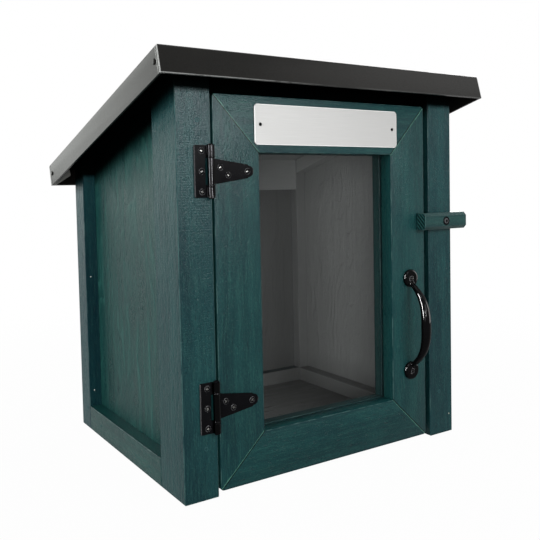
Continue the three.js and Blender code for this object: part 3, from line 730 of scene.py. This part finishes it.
class Wood:
    """A piece's coordinates and the noises of its grain, which the coats of its stain share."""

    def __init__(self, name, along, seed):
        self.name, self.along, self.seed = name, along, seed
        self.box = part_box(name)
        self.finish = finish = bpy.context.scene.book_box_timber
        self.material, self.graph = new_material("stain_" + name)
        graph = self.graph
        self.vector, self.parts = graph.place()
        self.normal = graph.split(graph.node("TexCoord", output="Normal"))
        self.sideways = abs(self.normal[X]).above(0.5, 0.8)
        self.run = self.parts[along]
        self.across = [self.parts[axis] for axis in (X, Y, Z) if axis != along]
        first, second = self.across
        bends = graph.join([first * 8, second * 8, self.run * 5 + seed])
        self.drift = graph.noise(bends, 2) - 0.5
        self.bent = [first + self.drift * 0.012 + seed, second + self.drift * 0.009]
        self.band = self.streaks(finish.band, 24, 3)
        self.fibre = self.streaks(finish.fibre, 16, 4, 0.65)
        self.fine = self.streaks(finish.fibre * 0.42, 9, 2)
        self.pore = self.streaks(finish.fibre * 0.8, 7, 1)
        self.speck = self.streaks(finish.speck, 1.9, 3, 0.65)
        self.coarse = self.streaks(finish.coarse, 3.2, 3, 0.6)
        self.cloud = self.patches((17, 17, 10), (seed, seed * 0.7, 0))
        self.swirl = graph.noise(graph.scaled(self.vector, (150, 150, 150)), 3)

    def streaks(self, width, stretch, detail, roughness=0.55):
        """Noise of this width, drawn out along the grain."""
        size = 1 / width
        cells = [painted_light_share * size for painted_light_share in self.bent] + [self.run * (size / stretch)]
        return self.graph.noise(self.graph.join(cells), detail, roughness)

    def patches(self, scale, offset):
        graph = self.graph
        return graph.noise(graph.shifted(graph.scaled(self.vector, scale), offset), 4)

    def figure(self, axis):
        """Arched rings across an axis, from 0 to 1 through each, and how well they show."""
        low, high = self.box
        offset = self.parts[axis] - (low[axis] + high[axis]) / 2 + self.drift * 0.07
        depth = (self.run - low[self.along]) * 0.22 + 0.010 + self.drift * 0.06
        radius = (offset * offset + depth * depth) ** 0.5
        turn = radius * 62 + self.drift * 7 + self.band * 0.8
        fade = self.cloud.above(0.35, 0.60) * self.band.above(0.30, 0.60)
        return self.graph.maths("FRACT", turn), fade

    def cut_ends(self, middle):
        """Dark end grain with the saw's slanting marks."""
        cut = abs(self.normal[self.along]).above(0.75, 0.9)
        first, second = self.across
        diagonal = (first - second) * (math.tau / self.finish.saw) + self.swirl * 1.2
        saw = (self.graph.maths("SINE", diagonal) * 0.5 + 0.5).above(0.50, 0.85)
        return cut, self.graph.mix(saw, toned(self.finish.end, 0.25), toned(middle, 1.5))

    def edges(self, deep):
        """Deep stain along the edges, rubbed thin in patches. One post is rubbed more, and its
        paler edges also paint the highlight along its arris.
        """
        edge = self.finish.edge
        rim = edge_distance(self.parts, self.box)
        patches = self.patches((80, 80, 36), (0, self.seed, 0))
        # The left front post is rubbed more, and its paler edges also paint the highlight along its
        # arris
        bounds = (0.34, 0.50) if self.name == "front_post_left" else (0.44, 0.62)
        worn = rim.above(edge, edge * 0.35) * patches.above(*bounds)
        return (rim.above(edge * 2.4, edge) * 0.5, deep), (worn * 0.45, self.finish.worn)

    def mitres(self):
        """Glue and a dark gap along the door's mitres, on its front."""
        if self.name not in MITRED:
            return
        face = self.box[0].y
        front = self.parts[Y].above(face + 2 * MM, face + 1 * MM)
        for index, (start, stop) in enumerate(mitre_lines()):
            glue, gap = seam(self.graph, self.parts[X], self.parts[Z], start, stop, 3.7 * index)
            yield glue * front * 0.75, self.finish.glue
            yield gap * front * 0.9, toned(self.finish.end, 0.25)

    def spots(self):
        """The piece's small knots, specks and chips, with ragged rims."""
        for first, second, (a, b), (wide, tall), pale in SPOTS.get(self.name, []):
            aside = (self.parts[first] - a * MM) / (wide * MM)
            above = (self.parts[second] - b * MM) / (tall * MM)
            spot = (aside * aside + above * above + (self.swirl - 0.5) * 1.6).above(1.5, 0.6)
            yield spot * 0.8, self.finish.chip if pale else self.finish.end

    def lining(self):
        """The grey lining on faces inside the box, each lighter or darker by its share: painted
        light.
        """
        if self.name not in LINED:
            return
        within = enclosed(self.parts)
        dust = self.fibre.above(0.35, 0.70) * 0.5 + self.cloud.above(0.3, 0.7) * 0.4
        for axis, way, painted_light_share in LINED[self.name]:
            clean, dusty = (
                [min(1, c * painted_light_share * dulled) for c in self.finish.lining]
                for dulled in (1, LINING_DUST)
            )
            lined = (self.normal[axis] * way).above(0.5, 0.8) * within
            yield lined, self.graph.mix(dust, clean, dusty)

    def relief(self):
        """Height and roughness of the raised grain, with the planer's ripples."""
        wave = self.run * (math.tau / self.finish.ripple) + self.drift * 30
        ripple = self.graph.maths("SINE", wave) * self.cloud.above(0.45, 0.65)
        height = self.speck * 0.80 + self.fibre * 0.20 + self.fine * 0.14 + ripple * 0.035
        height = height - self.pore.above(0.64, 0.76) * 0.35 + self.coarse * self.sideways * 2.0
        roughness = self.speck * 0.18 + self.fibre * 0.14 + (self.finish.roughness - 0.16)
        return height, roughness + (self.coarse - 0.5) * self.sideways * 0.25

    def painted_roof_shadow(self, lined):
        """How strongly the painted shadow under the roof covers a point. The lining is free of it.
        """
        finish = self.finish
        level = roof_level(self.parts[Y], self.parts[Z]) - ROOF.foot
        sides = abs(self.normal[X]).above(0.4, 0.6)
        depth = sides * (finish.side_roof_shadow - finish.front_roof_shadow) + finish.front_roof_shadow
        return (level / depth + (self.cloud - 0.5) * 0.6).above(-1.0, 0.15) * (1 - lined)


def stain(name, along, seed, tint, figure=None):
    """Stained timber with its grain along one axis. A figured board has arched rings across the
    axis figure."""
    wood = Wood(name, along, seed)
    graph, finish, band, cloud = wood.graph, wood.finish, wood.band, wood.cloud
    deep, middle, light = (toned(c, tint) for c in (finish.deep, finish.middle, finish.light))
    tone = band.above(0.30, 0.70) * 0.6 + cloud.above(0.30, 0.70) * 0.4
    height, roughness = wood.relief()
    shine = finish.shine
    figured = []
    if figure is not None:
        ring, fade = wood.figure(figure)
        late = ring.above(0.05, 0.85) * ring.above(1.0, 0.88)
        bright = ring.above(0.55, 0.84) * ring.above(1.0, 0.88)
        tone = tone * 0.6 + late * fade * 0.6
        figured = [
            (bright * fade * 0.55, toned(finish.light, 1.2)),
            (ring.above(0.26, 0.02) * 0.5, deep),
        ]
        height = height + late * fade * 0.9 + band * 0.9
        roughness = roughness + band.above(0.3, 0.7) * 0.16 + (cloud - 0.5) * 0.4 - 0.04
        shine = shine * 1.3
    lining = list(wood.lining())
    base = graph.coats(
        deep,
        (tone, middle),
        *figured,
        (wood.fibre.above(0.46, 0.70) * 0.40, light),
        (wood.fine.above(0.56, 0.30) * 0.34, deep),
        (wood.speck.above(0.56, 0.72) * 0.50, light),
        (wood.speck.above(0.46, 0.32) * 0.60, deep),
        (wood.pore.above(0.69, 0.75) * 0.8, finish.end),
        # Faces turned sideways are painted a little lighter than the fronts: painted light.
        (wood.sideways * 0.12, light),
        wood.cut_ends(middle),
        *wood.edges(deep),
        *wood.mitres(),
        *wood.spots(),
        *lining,
    )
    shader = graph.principled({
        "Base Color": base,
        "Roughness": roughness,
        "Specular IOR Level": shine,
        "Normal": graph.bump(height, finish.relief, 0.9),
    })
    # A dark matt layer paints the roof's shadow on the pieces under it and takes their gloss away
    # there
    if name.startswith(SHADED_UNDER_ROOF):
        roof_shadow_colour = graph.node("BsdfDiffuse", inputs={"Color": colour(finish.roof_shadow_colour)})
        shader = graph.blend(wood.painted_roof_shadow(sum(lined for lined, _tone in lining)), shader, roof_shadow_colour)
    graph.finish(shader)
    return wood.material


class BOOKBOX_OT_timber(bpy.types.Operator):
    """Stain every post, rail and small piece of timber, each with grain of its own"""

    bl_idname = "bookbox.timber"
    bl_label = "Stain timber"

    def execute(self, context):
        pieces = [(name, along) for along, names in GRAIN.items() for name in names]
        for index, (name, along) in enumerate(pieces):
            node = NODES[name]
            soften(node)
            tint = next((TINTS[start] for start in TINTS if name.startswith(start)), PLAIN_TINT)
            paint(node, stain(name, along, 1.37 * (index + 1), tint))
        return {"FINISHED"}


class BOOKBOX_OT_boards(bpy.types.Operator):
    """Stain the figured boards: side panels, back, floor and roof deck"""

    bl_idname = "bookbox.boards"
    bl_label = "Stain boards"

    def execute(self, context):
        for index, (name, (along, figure)) in enumerate(BOARDS.items()):
            node = NODES[name]
            soften(node)
            paint(node, stain(name, along, 41.3 + 2.9 * index, TINTS["side_"], figure))
        return {"FINISHED"}


# ---------------------------------------------------------------- roof
def end_distance(parts):
    """How far a point lies from the nearer end of the roof, along its slope."""
    slope = down_slope(parts[Y], parts[Z]) - ROOF.first
    return slope.least((ROOF.last - ROOF.first) - slope)


def roof_paint():
    """Satin paint, with bare metal at the cut edges and on the clips behind the corners, and a
    pale line along the hem that paints its highlight.
    """
    finish = bpy.context.scene.book_box_roof
    material, graph = new_material("roof_paint")
    vector, parts = graph.place()
    low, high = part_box("roof_pan")
    level = roof_level(parts[Y], parts[Z]) - ROOF.foot
    side = (parts[X] - low.x).least(high.x - parts[X])
    end = end_distance(parts)
    edge = finish.edge

    grain = graph.noise(graph.scaled(vector, (1 / finish.grain,) * 3), 3, 0.6)
    cloud = graph.noise(graph.scaled(vector, (14, 14, 14)), 3)
    scuff = graph.noise(graph.scaled(vector, (70, 70, 70)), 4, 0.65)
    # A pale line along the hem's lower edge paints the highlight of its rounded fold: painted
    # highlight. The corners' cut edges show bare metal. Both fade towards the right end: painted
    # highlight.
    hem = level.above(edge * 1.4, edge * 0.6) * side.above(0.24, 0.0) * end.above(2 * MM, 1 * MM)
    corner = side.above(edge * 1.2, edge * 0.3) * end.above(edge * 1.2, edge * 0.3)
    painted_highlight_fade = parts[X].above(0.12, 0.02) * 0.85 + 0.15
    bare = (hem * 0.55).most(corner) * scuff.above(0.25, 0.48) * painted_highlight_fade

    # A clip's crossing leg: a sheet that stands this far inside the end flange and ends this far
    # from the side. Its lower edge rises from this far in.
    seat, leg, rise_start, rise = 2.4 * MM, 28.2 * MM, 5.6 * MM, 0.62
    crossing = abs(end - seat).above(0.35 * MM, 0.15 * MM) * side.above(leg + 0.2 * MM, leg)
    slant = level - (side - rise_start) * rise
    clip = crossing * slant.above(-0.2 * MM, 0.2 * MM)

    facing = graph.split(graph.node("TexCoord", output="Normal"))[Z].above(0.7, 0.9)
    runs = graph.noise(graph.scaled(vector, (60, 7, 7)), 4, 0.6)
    dust = (runs * 0.6 + scuff * 0.4).above(0.42, 0.66) * facing
    roughness = grain * 0.10 + cloud * 0.05 + (finish.roughness - 0.07)
    graph.finish(graph.principled({
        "Base Color": graph.coats(
            finish.paint,
            (cloud.above(0.3, 0.7) * 0.3, toned(finish.paint, 1.6)),
            (dust * 0.5, finish.dust),
            (bare * 0.8, finish.metal),
            (clip, finish.zinc),
        ),
        "Roughness": roughness + clip * 0.2 + dust * 0.15,
        "Metallic": bare * 0.5,
        "Specular IOR Level": finish.shine,
        "Normal": graph.bump(grain, 0.05 * MM, 0.5),
    }))
    return material


def lap_paint():
    """The roof's paint, rubbed to metal along the cut edges of the corner laps."""
    finish = bpy.context.scene.book_box_roof
    material, graph = new_material("lap_paint")
    vector, parts = graph.place()
    end = end_distance(parts)
    scuff = graph.noise(graph.scaled(vector, (90, 90, 90)), 4, 0.65)
    inner = end.above(finish.fold - 0.8 * MM, finish.fold - 0.3 * MM)
    outer = end.above(1.2 * MM, 0.8 * MM)
    bare = inner.most(outer) * scuff.above(0.22, 0.45)
    graph.finish(graph.principled({
        "Base Color": graph.mix(bare * 0.85, finish.paint, finish.metal),
        "Roughness": scuff * 0.1 + (finish.roughness - 0.04),
        "Metallic": bare * 0.5,
        "Specular IOR Level": finish.shine,
    }))
    return material


class BOOKBOX_OT_roof(bpy.types.Operator):
    """Paint the folded roof and its rivets, and lap the end flanges round the corners"""

    bl_idname = "bookbox.roof"
    bl_label = "Paint roof"

    def execute(self, context):
        finish = context.scene.book_box_roof
        coat = roof_paint()
        for name in NODES:
            if name == "roof_pan" or name.startswith("roof_rivet"):
                soften(NODES[name])
                paint(NODES[name], coat)
        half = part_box("roof_pan")[1].x
        turn = Matrix.Rotation(-ROOF_PITCH, 4, "X")
        inset, overlap, hem = 0.6 * MM, 0.5 * MM, 2.4 * MM
        ends = (
            (ROOF.first + inset, ROOF.first + finish.fold),
            (ROOF.last - finish.fold, ROOF.last - inset),
        )

        def laps(build):
            for sign in (-1, 1):
                inner, outer = sorted((sign * (half - overlap), sign * (half + finish.proud)))
                for start, stop in ends:
                    low = Vector((inner, start, ROOF.foot))
                    high = Vector((outer, stop, ROOF.top - hem))
                    add_block(build, low, high, turn)

        lap = new_piece(
            "roof_corner_laps", laps, "cabinet", lap_paint(), smooth=False,
        )
        rounding = lap.modifiers.new("rounding", "BEVEL")
        rounding.width, rounding.segments = 0.12 * MM, 1
        return {"FINISHED"}


# ---------------------------------------------------------------- fittings
def screw_wear(name, box, parts, rubbed, scuff, cloud):
    """Where a screw is rubbed, on its rim too, and where bright steel in its cross paints the glint
    of its recess. The turn button's screw is rubbed in a ring round its cross alone."""
    low, high = box
    middle, head = (low + high) / 2, (high.x - low.x) / 2
    radius = off_axis(parts[X] - middle.x, parts[Z] - middle.z)

    def within(start, full):
        return radius.above(head * start, head * full)

    sunk = parts[Y].above(low.y + 0.45 * MM, low.y + 0.6 * MM) * within(0.56, 0.50)
    # Bright steel in the sunk cross paints the glint of the recess: painted highlight.
    bright = sunk * cloud.above(0.2, 0.45)
    if name.endswith("button_screw"):
        return within(0.88, 0.78) * within(0.42, 0.54) * 0.5, bright * 0.1
    rim = within(0.80, 0.86) * within(1.0, 0.94)
    return rubbed.most(rim * scuff.above(0.40, 0.60) * 0.8), bright


def lacquer(name, tone, roughness, shine, screw=None, edge=None, grainy=1):
    """Black lacquer with a fine grain, rubbed through here and there. A screw, given as its box,
    has bright steel in its cross that paints the glint of its recess. On a hinge, given as its
    edge in X, a pale line along that edge paints the highlight of its bevel, and the barrel
    reflects more."""
    finish = bpy.context.scene.book_box_fittings
    material, graph = new_material(name)
    vector, parts = graph.place()
    grain = graph.noise(graph.scaled(vector, (1 / finish.grain,) * 3), 3, 0.6)
    scuff = graph.noise(graph.scaled(vector, (900, 900, 500)), 3, 0.6)
    cloud = graph.noise(graph.scaled(vector, (70, 70, 70)), 2)
    height = grain * grainy
    gloss = grain * (0.12 * grainy) + cloud * (0.06 * grainy) + (roughness - 0.08 * grainy)
    metallic = 0
    rubbed = scuff.above(0.64, 0.72) * cloud.above(0.5, 0.7) * 0.35
    coats = [(cloud.above(0.3, 0.7) * 0.4, toned(tone, 1.6))]
    if screw:
        rubbed, bright = screw_wear(name, screw, parts, rubbed, scuff, cloud)
        coats += [(rubbed, finish.worn), (bright, finish.steel)]
        metallic = bright * 0.9
    else:
        coats.append((rubbed, finish.worn))
    if edge is not None:
        radius = off_axis(parts[X] - PIN[0], parts[Y] - PIN[1])
        barrel = radius.above(BARREL + 0.3 * MM, BARREL)
        # A pale line along the sheet's outer edge paints the highlight of its bevel: painted
        # highlight.
        line = abs(parts[X] - edge).above(0.9 * MM, 0.4 * MM) * scuff.above(0.30, 0.50)
        coats += [(line * 0.4, finish.worn), (barrel, finish.barrel)]
        metallic = barrel
        height = height * (1 - barrel)
        gloss = gloss * (1 - barrel) + barrel * 0.06
    graph.finish(graph.principled({
        "Base Color": graph.coats(tone, *coats),
        "Roughness": gloss,
        "Metallic": metallic,
        "Specular IOR Level": shine,
        "Normal": graph.bump(height, 0.05 * MM, 0.6),
    }))
    return material


class BOOKBOX_OT_hinges(bpy.types.Operator):
    """Lacquer both tee hinges and every screw, and round the edges of the sheet"""

    bl_idname = "bookbox.hinges"
    bl_label = "Finish hinges"

    def execute(self, context):
        finish = context.scene.book_box_fittings
        look = (finish.lacquer, finish.roughness, finish.shine)
        coat = lacquer("black_lacquer", *look)
        for name, node in NODES.items():
            screw = "_screw" in name
            if screw and "plate" not in name:
                soften(node)
                paint(node, lacquer("lacquer_" + name, *look, screw=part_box(name)))
            elif name.startswith(("hinge_leaf", "hinge_strap")):
                soften(node, finish.bevel)
                low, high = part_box(name)
                edge = low.x if name.startswith("hinge_leaf") else high.x
                paint(node, lacquer("lacquer_" + name, *look, edge=edge))
            elif name.startswith("hinge_") or screw:
                soften(node)
                paint(node, coat)

        def rings(mesh):
            bulge, shoulder = 0.45 * MM, 0.12 * MM
            levels = ((-1, bulge), (-0.6, shoulder), (0, 0), (0.6, shoulder), (1, bulge))
            for name in ("hinge_leaf_upper", "hinge_leaf_lower"):
                low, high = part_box(name)
                for sign in (-1, 1):
                    middle = (low.z + high.z) / 2 + sign * RING_OFFSET
                    skin = []
                    for level, inset in levels:
                        radius = finish.ring - inset
                        z = middle + level * (finish.ring_height / 2)
                        skin.append([
                            Vector((PIN[0] + radius * cos, PIN[1] + radius * sin, z))
                            for cos, sin in around(RING_FACETS)
                        ])
                    add_rings(mesh, skin)

        def cup(mesh):
            low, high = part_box("turn_button")
            place = Vector(((low.x + high.x) / 2, low.y, (low.z + high.z) / 2))
            inner, outer, proud = finish.cup - 1.5 * MM, finish.cup, 0.35 * MM
            profile = [
                (inner, 0.4 * MM), (outer, 0.4 * MM), (outer, -0.1 * MM),
                (outer - 0.3 * MM, -proud), (inner + 0.5 * MM, -proud), (inner, 0.1 * MM),
            ]
            add_turned(mesh, profile, place, CUP_FACETS, closed=True)

        shiny = lacquer("ring_lacquer", *look, edge=0)
        new_piece("barrel_rings", rings, "cabinet", shiny)
        new_piece("button_screw_cup", cup, "button", coat)
        return {"FINISHED"}


class BOOKBOX_OT_handle(bpy.types.Operator):
    """Build the pull handle as one fused skin: a swelling bow on two round feet"""

    bl_idname = "bookbox.handle"
    bl_label = "Build pull handle"

    def execute(self, context):
        shape = context.scene.book_box_handle
        finish = context.scene.book_box_fittings
        low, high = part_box("pull_handle")
        middle = Vector(((low.x + high.x) / 2, high.y, (low.z + high.z) / 2))
        centres = (high.z - low.z) / 2 - shape.foot
        half = centres - shape.root

        def bow_ring(s):
            """The bow's points where s runs from -1 at one end to 1 at the other."""
            drop, steep = abs(s) ** shape.power, math.copysign(abs(s) ** (shape.power - 1), s)
            depth = -shape.foot_height / 2 - shape.projection * (1 - drop)
            slope = shape.projection * shape.power * steep / half
            normal = Vector((0, 1, -slope)).normalized()
            swell = 1 + (shape.waist - 1) * s * s
            flare = 1 + shape.flare * max(0, (abs(s) - 0.93) / 0.07) ** 2
            place = middle + Vector((0, depth, half * s))
            wide, thick = (swell * flare * size / 2 for size in (shape.width, shape.thickness))
            return [
                place + Vector((wide * cos, 0, 0)) + normal * (thick * sin)
                for cos, sin in around(BOW_FACETS)
            ]

        def build(mesh):
            steps = range(BOW_STATIONS + 1)
            add_rings(mesh, [bow_ring(2 * step / BOW_STATIONS - 1) for step in steps])
            top, axis = shape.foot_height, 0.02 * MM
            profile = [
                (axis, 0), (shape.foot, 0), (shape.foot, 1.9 * MM - top),
                (shape.foot - 0.4 * MM, 0.95 * MM - top),
                (shape.foot - 1.2 * MM, 0.3 * MM - top),
                (shape.foot - 2.4 * MM, -top), (shape.screw + 0.9 * MM, -top),
                (shape.screw + 0.3 * MM, 0.35 * MM - top),
                (shape.screw - 0.6 * MM, 1.2 * MM - top), (axis, 1.2 * MM - top),
            ]
            for sign in (-1, 1):
                add_turned(mesh, profile, middle + Vector((0, 0, sign * centres)), FOOT_FACETS)

        look = (finish.enamel, finish.enamel_roughness, finish.enamel_shine)
        enamel = lacquer("black_enamel", *look, grainy=0.3)
        handle = new_piece("pull_handle_skin", build, "door", enamel)
        fuse = handle.modifiers.new("fuse", "REMESH")
        fuse.mode = "VOXEL"
        fuse.voxel_size = shape.skin
        fuse.use_smooth_shade = True
        ease = handle.modifiers.new("ease", "SMOOTH")
        ease.factor, ease.iterations = 0.5, 4
        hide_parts("pull_handle")
        return {"FINISHED"}


class BOOKBOX_OT_plate(bpy.types.Operator):
    """Brush the bare plate on the door's top rail"""

    bl_idname = "bookbox.plate"
    bl_label = "Brush plate"

    def execute(self, context):
        finish = context.scene.book_box_plate
        material, graph = new_material("brushed_plate")
        vector, parts = graph.place()
        lines = graph.noise(graph.join([parts[X] * 26, 0, parts[Z] / finish.brush]), 4, 0.6)
        cloud = graph.noise(graph.scaled(vector, (22, 22, 60)), 3)
        rim = edge_distance(parts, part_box("name_plate")).above(1.0 * MM, 0.3 * MM)
        graph.finish(graph.principled({
            "Base Color": graph.coats(
                finish.metal,
                (lines.above(0.3, 0.7) * 0.6, toned(finish.metal, 0.84)),
                # Darker towards the right end: painted shade.
                (parts[X].above(-0.02, 0.10) * 0.35, toned(finish.metal, 0.80)),
                (cloud.above(0.4, 0.8) * 0.3, toned(finish.metal, 0.93)),
                (rim * 0.8, finish.edge),
            ),
            "Metallic": finish.metallic,
            "Specular IOR Level": finish.shine,
            "Roughness": lines * 0.16 + cloud * 0.08 + (finish.roughness - 0.12),
            "Normal": graph.bump(lines, 0.03 * MM, 0.5),
        }))
        plate = NODES["name_plate"]
        soften(plate, finish.bevel)
        paint(plate, material)
        return {"FINISHED"}


class BOOKBOX_OT_pane(bpy.types.Operator):
    """Glaze the door with a clear pane that carries a little dust, which also paints its reflection
    """

    bl_idname = "bookbox.pane"
    bl_label = "Glaze door"

    def execute(self, context):
        finish = context.scene.book_box_pane
        material, graph = new_material("clear_pane")
        vector, _parts = graph.place()
        cloud = graph.noise(graph.scaled(vector, (30, 30, 18)), 4, 0.6)
        clear = graph.node("BsdfTransparent", inputs={"Color": colour(finish.tint)})
        dust = graph.node("BsdfDiffuse", inputs={"Color": colour(finish.dust)})
        # The dust scatters a little light that also stands in for the pane's reflection: painted
        # reflection.
        dust_and_reflection = cloud.above(0.3, 0.8) * (finish.dust_and_reflection * 0.5) + finish.dust_and_reflection
        graph.finish(graph.blend(dust_and_reflection, clear, dust))
        paint(NODES["window_pane"], material)
        return {"FINISHED"}


# ---------------------------------------------------------------- small marks
def dusted(name, tone, grain, detail, amount, lightness):
    """A new material with its graph, its fine dust, and a colour that the dust tones."""
    material, graph = new_material(name)
    vector, _parts = graph.place()
    dust = graph.noise(graph.scaled(vector, (grain, grain, grain)), detail)
    base = graph.mix(dust.above(0.4, 0.7) * amount, tone, toned(tone, lightness))
    return material, graph, dust, base


class BOOKBOX_OT_marks(bpy.types.Operator):
    """Add the filled screw holes on the posts and sides, and the pins on the rear posts"""

    bl_idname = "bookbox.marks"
    bl_label = "Add small marks"

    def execute(self, context):
        marks = context.scene.book_box_marks
        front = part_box("front_post_left")[0].y
        side = -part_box("side_rail_left")[0].x
        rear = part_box("rear_post_left")[0].y
        axis = 0.05 * MM

        def crown(radius):
            """A low ring of filler with a sunk middle."""
            depth, lift = 1.5 * MM, marks.lift
            return [
                (axis, depth), (radius, depth), (radius, -0.2 * lift),
                (radius * 0.82, -lift), (radius * 0.45, 0.2 * lift), (axis, 0),
            ]

        def fillers(mesh):
            for x, z in POST_FILLERS:
                place = Vector((x * MM, front, z * MM))
                add_turned(mesh, crown(marks.filler), place, POST_FILLER_FACETS)
            for sign in (-1, 1):
                spin = Matrix.Rotation(sign * math.pi / 2, 4, "Z")
                for y, z in SIDE_FILLERS:
                    start = len(mesh.verts)
                    add_turned(mesh, crown(marks.filler * 0.7), Vector(), SIDE_FILLER_FACETS)
                    mesh.verts.ensure_lookup_table()
                    shift = Matrix.Translation((sign * side, y * MM, z * MM))
                    bmesh.ops.transform(mesh, matrix=shift @ spin, verts=mesh.verts[start:])

        def pins(mesh):
            head = marks.pin
            dome = [
                (axis, 1 * MM), (head, 1 * MM), (head, -0.1 * MM),
                (head * 0.7, -0.4 * MM), (axis, -0.5 * MM),
            ]
            for sign in (-1, 1):
                for x, z in PINS:
                    add_turned(mesh, dome, Vector((sign * x * MM, rear, z * MM)), PIN_FACETS)

        filler, graph, dust, base = dusted(
            "stained_filler", marks.filler_colour, 1400, 3, 0.6, 2.2,
        )
        graph.finish(graph.principled({
            "Base Color": base,
            "Roughness": dust * 0.2 + 0.35,
            "Specular IOR Level": 0.12,
            "Normal": graph.bump(dust, 0.05 * MM, 0.5),
        }))
        new_piece("filled_screw_holes", fillers, "cabinet", filler)

        pin_head, graph, dust, base = dusted("pin_head", marks.pin_colour, 1800, 2, 0.5, 0.6)
        graph.finish(graph.principled({
            "Base Color": base, "Metallic": 0.9, "Roughness": dust * 0.2 + 0.2,
        }))
        new_piece("panel_pins", pins, "cabinet", pin_head)
        return {"FINISHED"}


# ---------------------------------------------------------------- studio
def seen_rays(graph):
    """The rays that see the background: 1 for the camera's own, and 1 for those in gloss and in
    clear pieces."""
    path = graph.made("LightPath")
    names = ("Is Camera Ray", "Is Glossy Ray", "Is Transmission Ray")
    camera_ray, glossy, clear = (Value(graph, path.outputs[name]) for name in names)
    return camera_ray, glossy.most(clear) * (1 - camera_ray)


def add_floor(studio):
    """A pale matt floor, which the camera and gloss see as nearly or wholly white."""
    mesh = bpy.data.meshes.new("floor")
    far = FLOOR_REACH
    corners = [(-far, -far, 0), (far, -far, 0), (far, far, 0), (-far, far, 0)]
    mesh.from_pydata(corners, [], [(0, 1, 2, 3)])
    floor = bpy.data.objects.new("floor", mesh)
    floor.location.z = -FLOOR_DROP
    bpy.context.scene.collection.objects.link(floor)
    floor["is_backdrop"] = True
    material, graph = new_material("floor")
    _vector, parts = graph.place()
    matt = graph.node("BsdfDiffuse", inputs={"Color": colour(studio.floor)})
    white = graph.node("Emission", inputs={"Color": colour(WHITE), "Strength": 1.0})
    radius = off_axis(parts[X], parts[Y])
    camera_ray, mirrored = seen_rays(graph)
    direct = radius.above(NEAR_FLOOR, studio.spread) * (1 - studio.near) + studio.near
    glossy = radius.above(NEAR_MIRRORED_FLOOR, 2 * studio.spread) * (1 - studio.mirrored)
    whiteness = camera_ray * direct + mirrored * (glossy + studio.mirrored)
    graph.finish(graph.blend(whiteness, matt, white))
    paint(floor, material)


def add_world(studio):
    """Dim light from all round, which the camera and gloss see as white."""
    world = bpy.data.worlds.new("studio")
    bpy.context.scene.world = world
    graph = Graph(world)
    dim, white = (
        graph.node("Background", inputs={"Color": colour(WHITE), "Strength": strength})
        for strength in (studio.sky, 1.0)
    )
    camera_ray, mirrored = seen_rays(graph)
    graph.finish(graph.blend(camera_ray + mirrored, dim, white), "World")


def reached(kind):
    """The collection of the pieces that a kind of lamp is kept to."""
    group = bpy.data.collections.get(kind)
    if group is None:
        group = bpy.data.collections.new(kind)
        for obj in bpy.context.scene.objects:
            if obj.type == "MESH" and obj.name.startswith(REACHED[kind]):
                group.objects.link(obj)
    return group


def add_lamp(name, place, aim, size, radiance, tone, lit):
    """A soft rectangular lamp whose face has this radiance, whatever its size."""
    data = bpy.data.lights.new(name, "AREA")
    data.shape = "RECTANGLE"
    data.size, data.size_y = size
    data.energy = radiance * size[0] * size[1] * math.pi
    data.color = tone
    lamp = bpy.data.objects.new(name, data)
    bpy.context.scene.collection.objects.link(lamp)
    lamp.location = place
    lamp.rotation_euler = (Vector(aim) - Vector(place)).to_track_quat("-Z", "Y").to_euler()
    lamp.visible_camera = False
    lamp.visible_glossy = lit != MATT
    lamp.visible_diffuse = lit in (ALL, MATT)
    if lit in REACHED:
        lamp.light_linking.receiver_collection = reached(lit)


def add_camera(scene):
    """The camera, at the photograph's angle."""
    data = bpy.data.cameras.new("camera")
    data.lens, data.sensor_width = CAMERA_LENS, CAMERA_SENSOR
    data.shift_y = CAMERA_SHIFT
    data.clip_start, data.clip_end = CAMERA_CLIP
    camera = bpy.data.objects.new("camera", data)
    scene.collection.objects.link(camera)
    turn = Matrix(CAMERA_AXES).transposed().to_4x4()
    camera.matrix_world = Matrix.Translation(CAMERA_PLACE) @ turn
    scene.camera = camera


class BOOKBOX_OT_studio(bpy.types.Operator):
    """Set up the pale floor, the soft lamps, the white background and the camera"""

    bl_idname = "bookbox.studio"
    bl_label = "Set up studio"

    def execute(self, context):
        studio = context.scene.book_box_studio
        add_floor(studio)
        add_world(studio)
        for lamp in LAMPS:
            add_lamp(*lamp)
        add_camera(context.scene)
        context.scene.view_settings.view_transform = "Standard"
        return {"FINISHED"}


OPERATORS = (
    BOOKBOX_OT_timber, BOOKBOX_OT_boards, BOOKBOX_OT_roof, BOOKBOX_OT_hinges, BOOKBOX_OT_handle,
    BOOKBOX_OT_plate, BOOKBOX_OT_pane, BOOKBOX_OT_marks, BOOKBOX_OT_studio,
)


class BOOKBOX_PT_panel(bpy.types.Panel):
    """Lists the finishes and the steps"""

    bl_idname = "BOOKBOX_PT_panel"
    bl_label = "Book exchange box"
    bl_space_type = "VIEW_3D"
    bl_region_type = "UI"
    bl_category = "Book box"

    def draw(self, context):
        for attribute, group in SETTINGS.items():
            box = self.layout.box()
            box.label(text=group.__doc__)
            settings = getattr(context.scene, attribute)
            for name in group.__annotations__:
                box.prop(settings, name)
        for operator in OPERATORS:
            self.layout.operator(operator.bl_idname)


CLASSES = (*SETTINGS.values(), *OPERATORS, BOOKBOX_PT_panel)


def register():
    for item in CLASSES:
        bpy.utils.register_class(item)
    for attribute, group in SETTINGS.items():
        setattr(bpy.types.Scene, attribute, PointerProperty(type=group))


def unregister():
    for attribute in SETTINGS:
        delattr(bpy.types.Scene, attribute)
    for item in reversed(CLASSES):
        bpy.utils.unregister_class(item)


def main():
    register()
    for operator in OPERATORS:
        family, name = operator.bl_idname.split(".")
        getattr(getattr(bpy.ops, family), name)()
    boxes = {"cad": CAD_BOX, "visual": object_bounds()}
    {key: [list(corner) for corner in box] for key, box in boxes.items()}


if __name__ == "__main__":
    main()
